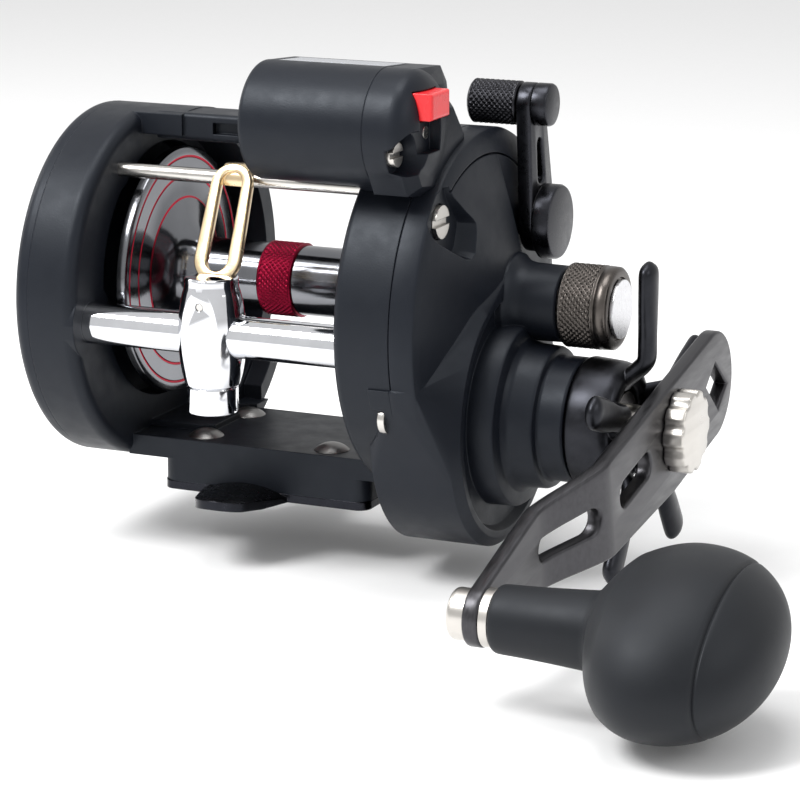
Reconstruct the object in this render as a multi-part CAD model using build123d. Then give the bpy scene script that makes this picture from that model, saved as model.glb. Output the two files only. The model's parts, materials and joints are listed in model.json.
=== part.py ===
from build123d import *
import os
from math import acos, cos, hypot, pi, radians, sin, sqrt, tan

# Trolling reel with a level wind, a line counter and a star drag.
# Millimetres. X runs along the spool axis towards the handle, -Y is the side the line leaves from, +Z is up.
# The origin is the middle of the flat underside of the reel foot.

# --- driving dimensions -------------------------------------------------------------------------
SPOOL_HEIGHT = 42.0            # spool axis above the underside of the foot
FLANGE_RADIUS = 25.0           # spool flanges
FLANGE_INNER_X = 23.8          # inner face of each flange, from the middle of the spool
FLANGE_THICKNESS = 2.2
ARBOR_RADIUS = 7.0
PLATE_RADIUS = 35.6            # side plates
DRIVE_AXIS_DROP = 21.4         # drive axis below the spool axis
GEAR_TEETH = 51
PINION_TEETH = 10
RUN = 0.05                     # radial clearance of a running fit
GAP = 0.3                      # air between parts that move past each other

SPOOL = (0.0, SPOOL_HEIGHT)                    # axes as (Y, Z)
DRIVE = (-5.0, SPOOL_HEIGHT - DRIVE_AXIS_DROP)
PLATE = (-3.0, SPOOL_HEIGHT - 1.9)             # the side plates sit a little forward of the spool
TUBE = (-31.0, SPOOL_HEIGHT - 5.2)             # level-wind tube
BAR = (-18.0, SPOOL_HEIGHT + 23.1)             # guide bar
COUNTER = (-27.5, SPOOL_HEIGHT + 36.8)         # line counter barrel
LEVER = (13.5, SPOOL_HEIGHT + 13.3)            # clutch lever pivot
LEVER_TOP = (9.5, SPOOL_HEIGHT + 37.0)         # clutch lever grip
CLICKER = (9.0, SPOOL_HEIGHT + 16.0)           # middle of the clicker button's travel

LEFT_COVER_X = (-41.4, -38.0)
LEFT_FACE_X = -28.0            # inner face of the left plate
RIGHT_FACE_X = 27.3            # inner face of the right plate
RIGHT_SEAM_X = 38.9            # joint between the frame and the right cover
COVER_STEP_X = 44.0
LOBE_RADIUS = 26.5             # gear housing round the drive axis
LOBE_X = (32.0, 48.5)

TUBE_RADIUS = 4.1
TUBE_BORE = 3.2
WORM_RADIUS = 2.9
CARRIAGE_X = -1.5
CARRIAGE_WIDTH = 12.0
COUNTER_RADIUS = 11.3
COUNTER_X = (8.0, 33.7, 43.8)  # left end, joint with the end cap, right end
STAR_TIP_RADIUS = 30.0
STAR_TIP_X = 78.0
STAR_ARMS = 5
ARM_X = 81.0                   # inner face of the handle arm at the nut
ARM_THICKNESS = 3.0
ARM_STEP = 6.6                 # how far the outer end of the arm is set back
ARM_LENGTH = 78.7              # drive axis to knob spindle
ARM_ANGLE = 191.5              # direction of the arm at rest, in degrees from +Y
FOOT_LENGTH = 60.0
FOOT_WIDTH = 19.0
FOOT_TIP_WIDTH = 11.6
FOOT_X = -2.8                  # the tongues of the foot sit a little left of the spool's middle
FOOT_PLATE = (-21.5, 23.7, -15.0, 15.0)
ARM_DIRECTION = (cos(radians(ARM_ANGLE)), sin(radians(ARM_ANGLE)))
KNOB_X = 114.3                 # middle of the handle knob
KNOB_SIZE = (31.2, 46.0, 30.8)

FLOOR_X = (-36.0, -33.5)       # web inside the left plate
WEB_X = (31.0, 33.5)           # web inside the right plate
SHROUD_X = -19.0               # how far the left plate's rim reaches in over the spool
BAR_RADIUS = 1.45
CAVITY_RADIUS = 34.4           # room for the level-wind gears behind the left cover
DECK_Z = (SPOOL_HEIGHT - 40.3, SPOOL_HEIGHT - 31.5)
BUTTON_Y = (-33.4, -25.0)       # reset button
BUTTON_Z = (COUNTER[1] + 2.6, COUNTER[1] + 7.6)
CLICKER_TRAVEL = 4.4
COUNTER_SCREW = (-35.0, SPOOL_HEIGHT + 33.1)
FRONT_SCREW = (-25.5, SPOOL_HEIGHT + 19.3)
SHAFT_RADIUS = 2.5
YOKE_POST_Y = 11.0
YOKE_POST_RADIUS = 1.2
BEARING_RADIUS = 5.5
RIVETS = [(x, y) for x in (-14.0, 14.0) for y in (-10.0, 9.0)]
COVER_SCREW_CIRCLE = 29.5
COVER_SCREW_ANGLES = (0, 110, 250)

# level-wind gear train inside the left plate: spool gear, compound idler, worm gear
TRAIN_MODULE = 0.6
SPOOL_COG, IDLER_BIG, IDLER_SMALL, WORM_COG = 14, 48, 25, 18
OUTER_GEARS_X = (-39.8, -38.4)   # spool gear and large idler gear
INNER_GEARS_X = (-37.8, -36.3)   # small idler gear and worm gear
REACH_1 = TRAIN_MODULE * (SPOOL_COG + IDLER_BIG) / 2
REACH_2 = TRAIN_MODULE * (IDLER_SMALL + WORM_COG) / 2
SPAN = hypot(TUBE[0] - SPOOL[0], TUBE[1] - SPOOL[1])
ALONG = (REACH_1 ** 2 - REACH_2 ** 2 + SPAN ** 2) / (2 * SPAN)
ASIDE = sqrt(max(REACH_1 ** 2 - ALONG ** 2, 0.0))
UNIT = ((TUBE[0] - SPOOL[0]) / SPAN, (TUBE[1] - SPOOL[1]) / SPAN)
IDLER = (SPOOL[0] + UNIT[0] * ALONG + UNIT[1] * ASIDE, SPOOL[1] + UNIT[1] * ALONG - UNIT[0] * ASIDE)

MAIN_MODULE = 2 * hypot(DRIVE[0], DRIVE_AXIS_DROP) / (GEAR_TEETH + PINION_TEETH)

CENTRE_ON_FACE = (Align.CENTER, Align.CENTER, Align.MIN)
parts = {}


# --- helpers ------------------------------------------------------------------------------------
def yz(x, at=(0.0, 0.0)):
    """Plane square to X, with its own axes along +Y and +Z."""
    return Plane(origin=(x, at[0], at[1]), x_dir=(0, 1, 0), z_dir=(1, 0, 0))


def cyl_x(x0, x1, radius, at=SPOOL):
    return yz(x0, at) * Cylinder(radius, x1 - x0, align=CENTRE_ON_FACE)


def ring_x(x0, x1, outer, inner, at=SPOOL):
    return cyl_x(x0, x1, outer, at) - cyl_x(x0 - 1, x1 + 1, inner, at)


def cone_x(x0, x1, r0, r1, at=SPOOL):
    return yz(x0, at) * Cone(r0, r1, x1 - x0, align=CENTRE_ON_FACE)


def cyl_z(z0, z1, radius, x, y):
    return Pos(x, y, z0) * Cylinder(radius, z1 - z0, align=CENTRE_ON_FACE)


def block(x0, x1, y0, y1, z0, z1):
    middle = ((x0 + x1) / 2, (y0 + y1) / 2, (z0 + z1) / 2)
    return Pos(*middle) * Box(x1 - x0, y1 - y0, z1 - z0)


def rod(start, end, radius, round_end=True):
    """Round bar between two points, with a rounded far end if asked."""
    a, b = Vector(*start), Vector(*end)
    bar = Plane(origin=a, z_dir=b - a) * Cylinder(radius, (b - a).length, align=CENTRE_ON_FACE)
    return bar + Pos(b) * Sphere(radius) if round_end else bar


def hull_x(x0, x1, circles):
    """Outline round several circles given as (y, z, radius), carried along X."""
    sketch = Sketch() + [Pos(y, z) * Circle(r) for y, z, r in circles]
    outline = make_hull([edge for face in sketch.faces() for edge in face.edges()]) if len(circles) > 1 else sketch
    return extrude(yz(x0) * outline, x1 - x0)


def profile_x(x0, x1, points):
    """Closed outline through (y, z) points, carried along X."""
    return extrude(yz(x0) * make_face(Polyline(*points, close=True)), x1 - x0)


def polar(at, radius, degrees):
    return (at[0] + radius * cos(radians(degrees)), at[1] + radius * sin(radians(degrees)))


def cover_screws():
    """Axes of the screws that hold the left cover."""
    return [polar(PLATE, COVER_SCREW_CIRCLE, angle) for angle in COVER_SCREW_ANGLES]


def turned_x(points, at=SPOOL):
    """Solid of revolution about an axis along X, from (x, radius) points."""
    outline = make_face(Polyline(*[(x, 0, r) for x, r in points], close=True))
    return Pos(0, at[0], at[1]) * revolve(outline, Axis.X, 360)


def spur_gear(x0, x1, teeth, module, at, bore, turn=0.0, pressure=25.0, add=0.85, backlash=0.10):
    """Involute spur gear; turn is the angle in degrees of the middle of one tooth, from +Y."""
    pitch = teeth * module / 2
    base = pitch * cos(radians(pressure))
    tip = pitch + add * module
    root = pitch - 1.15 * module
    involute = lambda r: tan(acos(base / r)) - acos(base / r) if r > base else 0.0
    half_pitch_angle = (pi * module / 2 - backlash) / (2 * pitch) + involute(pitch)
    start = max(base, root)
    radii = [start + (tip - start) * i / 3 for i in range(4)]
    points = []
    for tooth in range(teeth):
        middle = radians(turn) + 2 * pi * tooth / teeth
        flank = [(r, half_pitch_angle - involute(r)) for r in radii]
        one_side = [(root, half_pitch_angle - involute(start))] * (root < start - 1e-6) + flank
        points += [(r * cos(middle - a), r * sin(middle - a)) for r, a in one_side]
        points += [(r * cos(middle + a), r * sin(middle + a)) for r, a in reversed(one_side)]
    face = yz(x0, at) * make_face(Polyline(*points, close=True))
    return extrude(face, x1 - x0) - cyl_x(x0 - 1, x1 + 1, bore, at)


def screw_x(x_head, at, radius, head, length, slot=True):
    """Screw along -X whose head's outer face is at x_head."""
    body = cyl_x(x_head - head, x_head, radius, at) + cyl_x(x_head - head - length, x_head - head, radius * 0.5, at)
    if slot:
        cut = radius * 0.22
        body -= block(x_head - head * 0.5, x_head + 1, at[0] - radius * 2, at[0] + radius * 2, at[1] - cut, at[1] + cut)
    return body


def soft_edges(part, edges, sizes):
    """Rounds the edges with the first radius that the shape takes."""
    for size in sizes:
        try:
            rounded = part.fillet(size, edges)
            if rounded.is_valid:
                return rounded
        except Exception:
            continue
    return part


def circles_at(part, x, smallest=0.0):
    found = [e for e in part.edges() if abs(e.center().X - x) < 0.01 and e.bounding_box().size.X < 0.01]
    return [e for e in found if e.length > smallest]


# --- frame --------------------------------------------------------------------------------------

def left_plate():
    plate = cyl_x(LEFT_COVER_X[1], LEFT_FACE_X, PLATE_RADIUS, PLATE)
    plate = soft_edges(plate, circles_at(plate, LEFT_FACE_X), (2.4, 1.5))
    rim = ring_x(LEFT_FACE_X - 3, SHROUD_X, PLATE_RADIUS, 31.4, PLATE)
    keep = block(-40, SHROUD_X + 1, -9.0, 60, PLATE[1] + 6, 90) + block(-40, SHROUD_X + 1, 8, 60, -5, 90)
    plate += rim & keep
    plate += ring_x(LEFT_FACE_X - 3, -15.0, PLATE_RADIUS, 32.4, PLATE) & block(-40, -14, 17, 60, 1.7, 19.5)
    plate -= cyl_x(LEFT_COVER_X[1] - 1, FLOOR_X[0], CAVITY_RADIUS, PLATE)
    plate -= cyl_x(FLOOR_X[1], LEFT_FACE_X + 1, FLANGE_RADIUS + 1.0)
    return plate


def right_plate():
    plate = cyl_x(RIGHT_FACE_X, RIGHT_SEAM_X, PLATE_RADIUS, PLATE)
    plate = soft_edges(plate, circles_at(plate, RIGHT_FACE_X), (1.6, 1.0))
    plate -= cyl_x(RIGHT_FACE_X - 1, WEB_X[0], FLANGE_RADIUS + 1.0)
    plate -= cyl_x(WEB_X[1], RIGHT_SEAM_X + 1, 33.2, PLATE)
    return plate


def make_frame():
    body = left_plate() + right_plate()
    deck = block(-29.0, 28.5, -15, 15, DECK_Z[0] + 4.6, DECK_Z[1])
    saddle = block(-21.5, 23.7, -15, 15, DECK_Z[0], DECK_Z[1] - 2)
    saddle = soft_edges(saddle, saddle.edges().filter_by(Axis.Z), (3.0,))
    body += deck + saddle
    body += block(-29.0, -14, -7, 34, DECK_Z[0] + 4.6, DECK_Z[1] + 1.2) & cyl_x(-40, 40, PLATE_RADIUS, PLATE)
    top = block(SHROUD_X - 6, RIGHT_FACE_X + 2, -8.2, 1.2, SPOOL_HEIGHT + 28.0, SPOOL_HEIGHT + 33.5)
    top = soft_edges(top, top.edges().filter_by(Axis.X), (1.0,))
    body += top - block(-12.5, 22.5, -8.4, -6.6, SPOOL_HEIGHT + 29.6, SPOOL_HEIGHT + 31.9)
    # bosses and bores for what the frame carries
    body += cyl_x(-34, -30.6, 8.0)
    for y in (-YOKE_POST_Y, YOKE_POST_Y):
        body -= cyl_x(WEB_X[0], 40, YOKE_POST_RADIUS, (y, SPOOL[1]))
    body += cyl_x(-34, LEFT_FACE_X, 7.5, TUBE) & cyl_x(-40, 0, PLATE_RADIUS, PLATE)
    body += cyl_x(RIGHT_FACE_X, 32, 6.2, TUBE) + cyl_x(RIGHT_FACE_X, 32, 4.0, BAR) + cyl_x(-35, LEFT_FACE_X, 4.0, BAR)
    body += cyl_x(WEB_X[0], 38, 6.2, DRIVE)
    body -= cyl_x(-37, -29, BEARING_RADIUS)
    body -= cyl_x(WEB_X[0] - 6, WEB_X[1] + 4, 6.2)
    body -= cyl_x(-37, 33.0, TUBE_RADIUS, TUBE) + cyl_x(-34.5, 31.5, BAR_RADIUS, BAR)
    body -= cyl_x(WEB_X[0] + 1, 40, 4.2, DRIVE)
    body -= cyl_x(-40, -30, 1.5, IDLER)
    for x, y in RIVETS:
        body -= cyl_z(-1, DECK_Z[1] + 3, 1.6, x, y)
        body -= cyl_z(DECK_Z[1], DECK_Z[1] + 6, 3.9, x, y)
    for at in cover_screws():
        body += cyl_x(LEFT_COVER_X[1], FLOOR_X[1], 2.6, at)
        body -= cyl_x(-39, -34.5, 1.1, at)
    return body


def towards(a, b):
    """Angle in degrees, from +Y, of the line from axis a to axis b."""
    turn = acos((b[0] - a[0]) / hypot(b[0] - a[0], b[1] - a[1])) * 180 / pi
    return turn if b[1] >= a[1] else -turn


def tooth_gap_at(angle, teeth):
    """Angle of a tooth when a gap between two teeth has to face the given angle."""
    return angle + 180.0 / teeth


# --- counter ------------------------------------------------------------------------------------
def counter_outline(x0, x1, grow=0.0):
    """Round front, flat lid and a back wall that runs down to the plate."""
    y, z = COUNTER
    barrel = cyl_x(x0, x1, COUNTER_RADIUS + grow, COUNTER)
    back = profile_x(x0, x1, [
        (y, z + COUNTER_RADIUS + grow),
        (-15.5 + grow, z + 10.4 + grow),
        (-12.5 + grow, z + 7.0 + grow),
        (-12.5 + grow, z - 6.0 - grow),
        (-18.0, z - 6.0 - grow),
        (y, z - 8.0 - grow),
    ])
    return barrel + back


def neck(x0, x1):
    """Web that joins the counter to the rim of the side plate."""
    reach = profile_x(x0, x1, [(-33.0, 69.0), (-26.0, 66.0), (-3.0, 70.0), (-1.0, 75.6), (-12.6, 84.0), (-30.0, 84.0)])
    return reach - cyl_x(x0 - 1, x1 + 1, PLATE_RADIUS, PLATE)


def make_counter():
    x0, x1, x2 = COUNTER_X
    housing = counter_outline(x0, x1)
    housing = soft_edges(housing, circles_at(housing, x0, 5.0), (1.2, 0.8, 0.4))
    housing += neck(RIGHT_FACE_X + 1.6, x1)
    housing -= cyl_x(RIGHT_FACE_X, x1 + 1, PLATE_RADIUS + 0.02, PLATE)
    window_seat = block(11.0, x1 - 1.0, -26.5, -16.4, COUNTER[1] + 9.0, COUNTER[1] + 14)
    housing -= counter_outline(x0 + 1.8, x1 + 1, -1.8)
    housing -= window_seat
    lid = counter_outline(11.0, x1 - 1.0) & window_seat
    parts["counter_housing"] = housing
    parts["counter_window"] = lid

    cap = cyl_x(x1, RIGHT_SEAM_X, COUNTER_RADIUS, COUNTER)
    cap += cone_x(RIGHT_SEAM_X, x2, COUNTER_RADIUS, 9.9, COUNTER)
    cap = soft_edges(cap, circles_at(cap, x2), (1.2, 0.8))
    cap += neck(x1, COVER_STEP_X - 0.6)
    cap -= cyl_x(x1 - 1, x2 - 2.4, COUNTER_RADIUS - 1.8, COUNTER)
    cap -= cyl_x(x1 - 1, RIGHT_SEAM_X, PLATE_RADIUS + 0.02, PLATE)
    cap -= cyl_x(RIGHT_SEAM_X - 0.9, x2 + 3, 2.8, COUNTER_SCREW)
    cap -= cyl_x(x1 - 1, x2, 1.2, COUNTER_SCREW)
    cap -= block(x2 - 3, x2 + 4, BUTTON_Y[0] - GAP, BUTTON_Y[1] + GAP, BUTTON_Z[0] - 6.0, BUTTON_Z[1] + 0.2)
    parts["counter_end_cap"] = cap
    button = block(x2 - 2.2, x2 + 1.8, *BUTTON_Y, *BUTTON_Z)
    button = soft_edges(button, button.faces().sort_by(Axis.X)[-1].edges(), (0.6,))
    parts["reset_button"] = button
    parts["counter_screw"] = screw_x(RIGHT_SEAM_X + 0.6, COUNTER_SCREW, 2.3, 1.5, 5.4)

    # three number wheels on their shaft
    axis = (-26.6, COUNTER[1] - 0.6)
    for name, start in (("counter_wheel_ones", 25.6), ("counter_wheel_tens", 19.4), ("counter_wheel_hundreds", 13.2)):
        parts[name] = ring_x(start, start + 5.8, 8.2, 1.25 + RUN, axis)
    parts["counter_shaft"] = cyl_x(x0 + 1.8, x2 - 2.4, 1.25, axis)



# --- side covers --------------------------------------------------------------------------------
def make_left_cover():
    x0, x1 = LEFT_COVER_X
    cover = cyl_x(x0, x1, PLATE_RADIUS, PLATE)
    cover = soft_edges(cover, circles_at(cover, x0), (2.2, 1.2))
    cover -= cyl_x(x0 + 1.2, x1 + 1, CAVITY_RADIUS, PLATE)
    for at in cover_screws():
        cover += cyl_x(x0 + 1.0, x1, 2.6, at)
        cover -= cyl_x(x0 - 1, x1 + 1, 1.15, at)
        cover -= cyl_x(x0 - 1, x0 + 1.2, 2.3, at)
    reach = CLICKER_TRAVEL / 2 + 1.0
    cover -= block(x0 - 1, x0 + 2, CLICKER[0] - 1.0, CLICKER[0] + 1.0, CLICKER[1] - reach, CLICKER[1] + reach)
    parts["left_side_cover"] = cover
    screws = []
    for at in cover_screws():
        head = cyl_x(x0 + 0.1, x0 + 1.2, 2.1, at) - block(x0 - 1, x0 + 0.6, at[0] - 3, at[0] + 3, at[1] - 0.3, at[1] + 0.3)
        screws.append(head + cyl_x(x0 + 1.2, -35.0, 1.05, at))
    parts["left_cover_screws"] = Compound(children=screws)


def egg(x0, x1, shrink=0.0):
    """Outline of the right side: the round plate with the gear housing below it."""
    return hull_x(x0, x1, [(*PLATE, PLATE_RADIUS - shrink), (*DRIVE, LOBE_RADIUS - shrink)])


def make_right_cover():
    cover = egg(RIGHT_SEAM_X, COVER_STEP_X)
    cover += egg(LOBE_X[0], RIGHT_SEAM_X + 1) - cyl_x(LOBE_X[0] - 1, RIGHT_SEAM_X + 2, PLATE_RADIUS, PLATE)
    cover = soft_edges(cover, circles_at(cover, COVER_STEP_X), (1.4, 0.8))
    # domed face that rises towards the spool-tension boss, cut away round the clutch lever
    dome = cone_x(COVER_STEP_X - 0.5, 54.0, 33.2, 13.5, (PLATE[0] + 1.2, PLATE[1] + 1.2))
    well = hull_x(45.4, 80, [(*LEVER, 10.5), (LEVER[0] - 5.0, LEVER[1] + 34.0, 14.0), (LEVER[0] + 30, LEVER[1] + 6, 18.0)])
    cover += dome - well
    # gear housing, its stepped face and the neck of the drag
    cover += cyl_x(LOBE_X[0], LOBE_X[1], LOBE_RADIUS, DRIVE) - cyl_x(-40, RIGHT_SEAM_X, PLATE_RADIUS, PLATE)
    cover += cone_x(LOBE_X[1], 50.0, LOBE_RADIUS, 25.0, DRIVE)
    cover -= ring_x(49.0, 51.0, 23.5, 20.0, DRIVE)
    cover += cyl_x(45.0, 54.0, 20.0, DRIVE)
    cover += cyl_x(54.0, 60.0, 14.2, DRIVE) + cyl_x(60.0, 65.5, 12.3, DRIVE)
    # boss for the spool-tension knob
    cover += cone_x(50.0, 56.0, 11.0, 7.5) + cyl_x(44.0, 60.0, 7.5)
    # hollow for the gears
    cover -= cyl_x(RIGHT_SEAM_X - 1, 42.2, 33.2, PLATE) + cyl_x(RIGHT_SEAM_X - 8, 47.2, 23.6, DRIVE)
    cover -= cyl_x(RIGHT_SEAM_X - 1, 50.2, 7.0)
    cover -= cyl_x(-40, RIGHT_SEAM_X, PLATE_RADIUS, PLATE) & block(-40, RIGHT_SEAM_X, -60, 60, -20, 90)
    cover -= cyl_x(50.0, 62, BEARING_RADIUS - 0.5)
    cover -= cyl_x(47.0, 58.6, 9.0, DRIVE) + cyl_x(58.0, 70, 5.0, DRIVE)
    cover += cyl_x(41.0, 46.0, 6.0, LEVER)
    cover -= cyl_x(30.0, 50.0, 3.0 + RUN, LEVER)
    cover -= cyl_x(COVER_STEP_X - 1.0, 60, 3.4, FRONT_SCREW)
    cover += cyl_x(RIGHT_SEAM_X, COVER_STEP_X - 1.0, 3.4, FRONT_SCREW)
    cover -= cyl_x(30, 60, 1.6, FRONT_SCREW)
    # leave room for the counter's end cap
    cover -= counter_outline(RIGHT_SEAM_X - 1, RIGHT_SEAM_X + 5, 0.0) + neck(RIGHT_SEAM_X - 1, RIGHT_SEAM_X + 5)
    parts["right_side_cover"] = cover
    parts["front_cover_screw"] = screw_x(COVER_STEP_X + 0.4, FRONT_SCREW, 3.2, 1.4, 7.0)


def make_foot():
    """Pressed plate with a tongue, arched across its width, at the front and at the back."""
    half, tip, end = FOOT_WIDTH / 2, FOOT_TIP_WIDTH / 2, FOOT_LENGTH / 2
    circles = []
    for side in (-1, 1):
        circles.append((FOOT_X, side * (end - tip), tip))
        circles.append((FOOT_X - half + 3, side * 14, 3))
        circles.append((FOOT_X + half - 3, side * 14, 3))
    outline = make_hull([e for x, y, r in circles for e in (Pos(x, y) * Circle(r)).edges()])
    x0, x1, y0, y1 = FOOT_PLATE
    tongues = extrude(outline, 4) - block(x0, x1, y0, y1, -1, 5)
    tongues &= along_y(FOOT_X, 3.0 - 22.0, 22.0)
    tongues -= along_y(FOOT_X, 1.2 - 21.0, 21.0)
    plate = block(x0, x1, y0, y1, 0, DECK_Z[0])
    foot = soft_edges(plate, plate.edges().filter_by(Axis.Z), (2.5,)) + tongues
    for x, y in RIVETS:
        foot -= cyl_z(-1, DECK_Z[0] + 1, 1.6, x, y)
    return foot


def along_y(x, z, radius):
    return Pos(x, -60, z) * Rot(-90, 0, 0) * Cylinder(radius, 120, align=CENTRE_ON_FACE)


# --- frame fittings -----------------------------------------------------------------------------
def make_fittings():
    parts["guide_bar"] = cyl_x(-34.5, 31.5, BAR_RADIUS, BAR)
    tube = ring_x(-36.0, 33.0, TUBE_RADIUS, TUBE_BORE, TUBE)
    slot = block(CARRIAGE_X - 23, CARRIAGE_X + 23, TUBE[0] - 1.4, TUBE[0] + 1.4, TUBE[1] - 6, TUBE[1])
    parts["level_wind_tube"] = tube - slot
    bushes = [ring_x(x, x + 2.4, TUBE_BORE, 1.6 + RUN, TUBE) for x in (-35.8, 30.4)]
    parts["worm_bushes"] = Compound(children=bushes)
    rivets = []
    for x, y in RIVETS:
        stem = cyl_z(0.5, DECK_Z[1], 1.6, x, y)
        dome = Pos(x, y, DECK_Z[1] - 3.6) * Sphere(5.1) & cyl_z(DECK_Z[1], DECK_Z[1] + 3, 3.6, x, y)
        rivets.append(stem + dome)
    parts["foot_rivets"] = Compound(children=rivets)

    parts["reel_foot"] = make_foot()
    parts["left_spool_bearing"] = ring_x(-35.6, -31.2, BEARING_RADIUS, SHAFT_RADIUS + RUN)
    parts["right_spool_bearing"] = ring_x(52.0, 56.0, BEARING_RADIUS - 0.5, SHAFT_RADIUS + RUN)
    parts["drive_bush"] = ring_x(33.0, 37.5, 4.2, 3.0 + RUN, DRIVE)
    parts["anti_reverse_bearing"] = ring_x(48.0, 58.4, 9.0, 4.5 + RUN, DRIVE)
    parts["idler_post"] = cyl_x(-40.1, -34.2, 1.5, IDLER)
    posts = [cyl_x(WEB_X[0], 42.0, YOKE_POST_RADIUS, (y, SPOOL[1])) for y in (-YOKE_POST_Y, YOKE_POST_Y)]
    parts["yoke_posts"] = Compound(children=posts)


# --- spool --------------------------------------------------------------------------------------
def make_spool():
    inner, outer = FLANGE_INNER_X, FLANGE_INNER_X + FLANGE_THICKNESS
    half = [(inner, FLANGE_RADIUS), (outer, FLANGE_RADIUS), (outer, 8.0), (outer + 2.4, 5.6), (outer + 2.4, 0)]
    flare = [(15.5, ARBOR_RADIUS), (18.5, 7.6), (21.4, 9.8), (inner - 0.8, 13.2), (inner, 16.0)]
    right = flare + half
    left = [(-x, r) for x, r in reversed(right)]
    body = turned_x(left + right)
    body -= cyl_x(-40, 40, SHAFT_RADIUS)
    body -= ring_x(-3.9, 3.7, 12, 6.2)
    parts["spool"] = body
    parts["arbor_ring"] = ring_x(-3.8, 3.65, 7.5, 6.2)
    shaft = cyl_x(-39.6, 57.6, SHAFT_RADIUS)
    parts["spool_shaft"] = shaft
    face = towards(SPOOL, IDLER)
    parts["level_wind_drive_gear"] = spur_gear(*OUTER_GEARS_X, SPOOL_COG, TRAIN_MODULE, SPOOL, SHAFT_RADIUS, face)
    parts["clutch_dog"] = ring_x(28.4, 29.6, 5.4, SHAFT_RADIUS)


def make_level_wind():
    back = towards(IDLER, SPOOL)
    ahead = towards(IDLER, TUBE)
    big = spur_gear(*OUTER_GEARS_X, IDLER_BIG, TRAIN_MODULE, IDLER, 1.5 + RUN, tooth_gap_at(back, IDLER_BIG))
    small_x = (OUTER_GEARS_X[1] - 0.1, INNER_GEARS_X[1])
    small = spur_gear(*small_x, IDLER_SMALL, TRAIN_MODULE, IDLER, 1.5 + RUN, ahead)
    parts["level_wind_idler"] = big + small
    turn = tooth_gap_at(towards(TUBE, IDLER), WORM_COG)
    parts["worm_gear"] = spur_gear(*INNER_GEARS_X, WORM_COG, TRAIN_MODULE, TUBE, 1.6, turn)
    worm = cyl_x(-33.2, 30.2, WORM_RADIUS, TUBE) + cyl_x(INNER_GEARS_X[0], 32.8, 1.6, TUBE)
    parts["worm_shaft"] = worm

    x, (y, z) = CARRIAGE_X, TUBE
    half = CARRIAGE_WIDTH / 2
    body = cyl_x(x - half, x + half, 6.2, TUBE) + cyl_z(z - 6.2, z + 11.6, 5.4, x, y)
    body = body + cyl_z(z - 6.3, z - 3.0, 4.95, x, y)
    body -= cyl_x(x - 10, x + 10, TUBE_RADIUS + RUN, TUBE)
    body -= cyl_z(z - 8, z, 2.5, x, y)
    parts["carriage"] = body
    cap = cyl_z(z - 15.3, z - 6.3, 4.95, x, y) - cyl_z(z - 13.3, z, 2.5, x, y)
    cap -= block(x - 6, x + 6, y - 0.6, y + 0.6, z - 16, z - 14.4)
    parts["pawl_cap"] = cap
    pawl = cyl_z(z - 13.2, z - 4.6, 2.5 - RUN, x, y) + block(x - 0.9, x + 0.9, y - 0.9, y + 0.9, z - 4.6, z - 3.0)
    parts["level_wind_pawl"] = pawl

    foot_y, foot_z = y + 1.6, z + 11.2
    top_y, top_z = BAR[0] - 2.6, BAR[1] + 1.6
    length = hypot(top_y - foot_y, top_z - foot_z)
    lean = Plane(origin=(x, foot_y, foot_z), x_dir=(1, 0, 0), z_dir=(0, -(top_z - foot_z), top_y - foot_y))
    outer = make_hull([e for s in (Pos(0, 3.4) * Circle(4.9), Pos(0, length - 2.7) * Circle(4.4)) for e in s.edges()])
    inner = make_hull([e for s in (Pos(0, 3.0) * Circle(2.25), Pos(0, length - 2.2) * Circle(2.25)) for e in s.edges()])
    loop = extrude(lean * outer, 0.8, both=True) - extrude(lean * inner, 3, both=True)
    hook = cyl_x(x - 3.0, x + 3.0, BAR_RADIUS + 1.5, BAR) - cyl_x(x - 9, x + 9, BAR_RADIUS + GAP, BAR)
    hook -= block(x - 9, x + 9, -40, 0, 40, BAR[1] + 0.4)
    parts["line_guide"] = loop - cyl_x(x - 9, x + 9, BAR_RADIUS + GAP, BAR) + hook
    parts["carriage"] -= parts["line_guide"]


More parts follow.
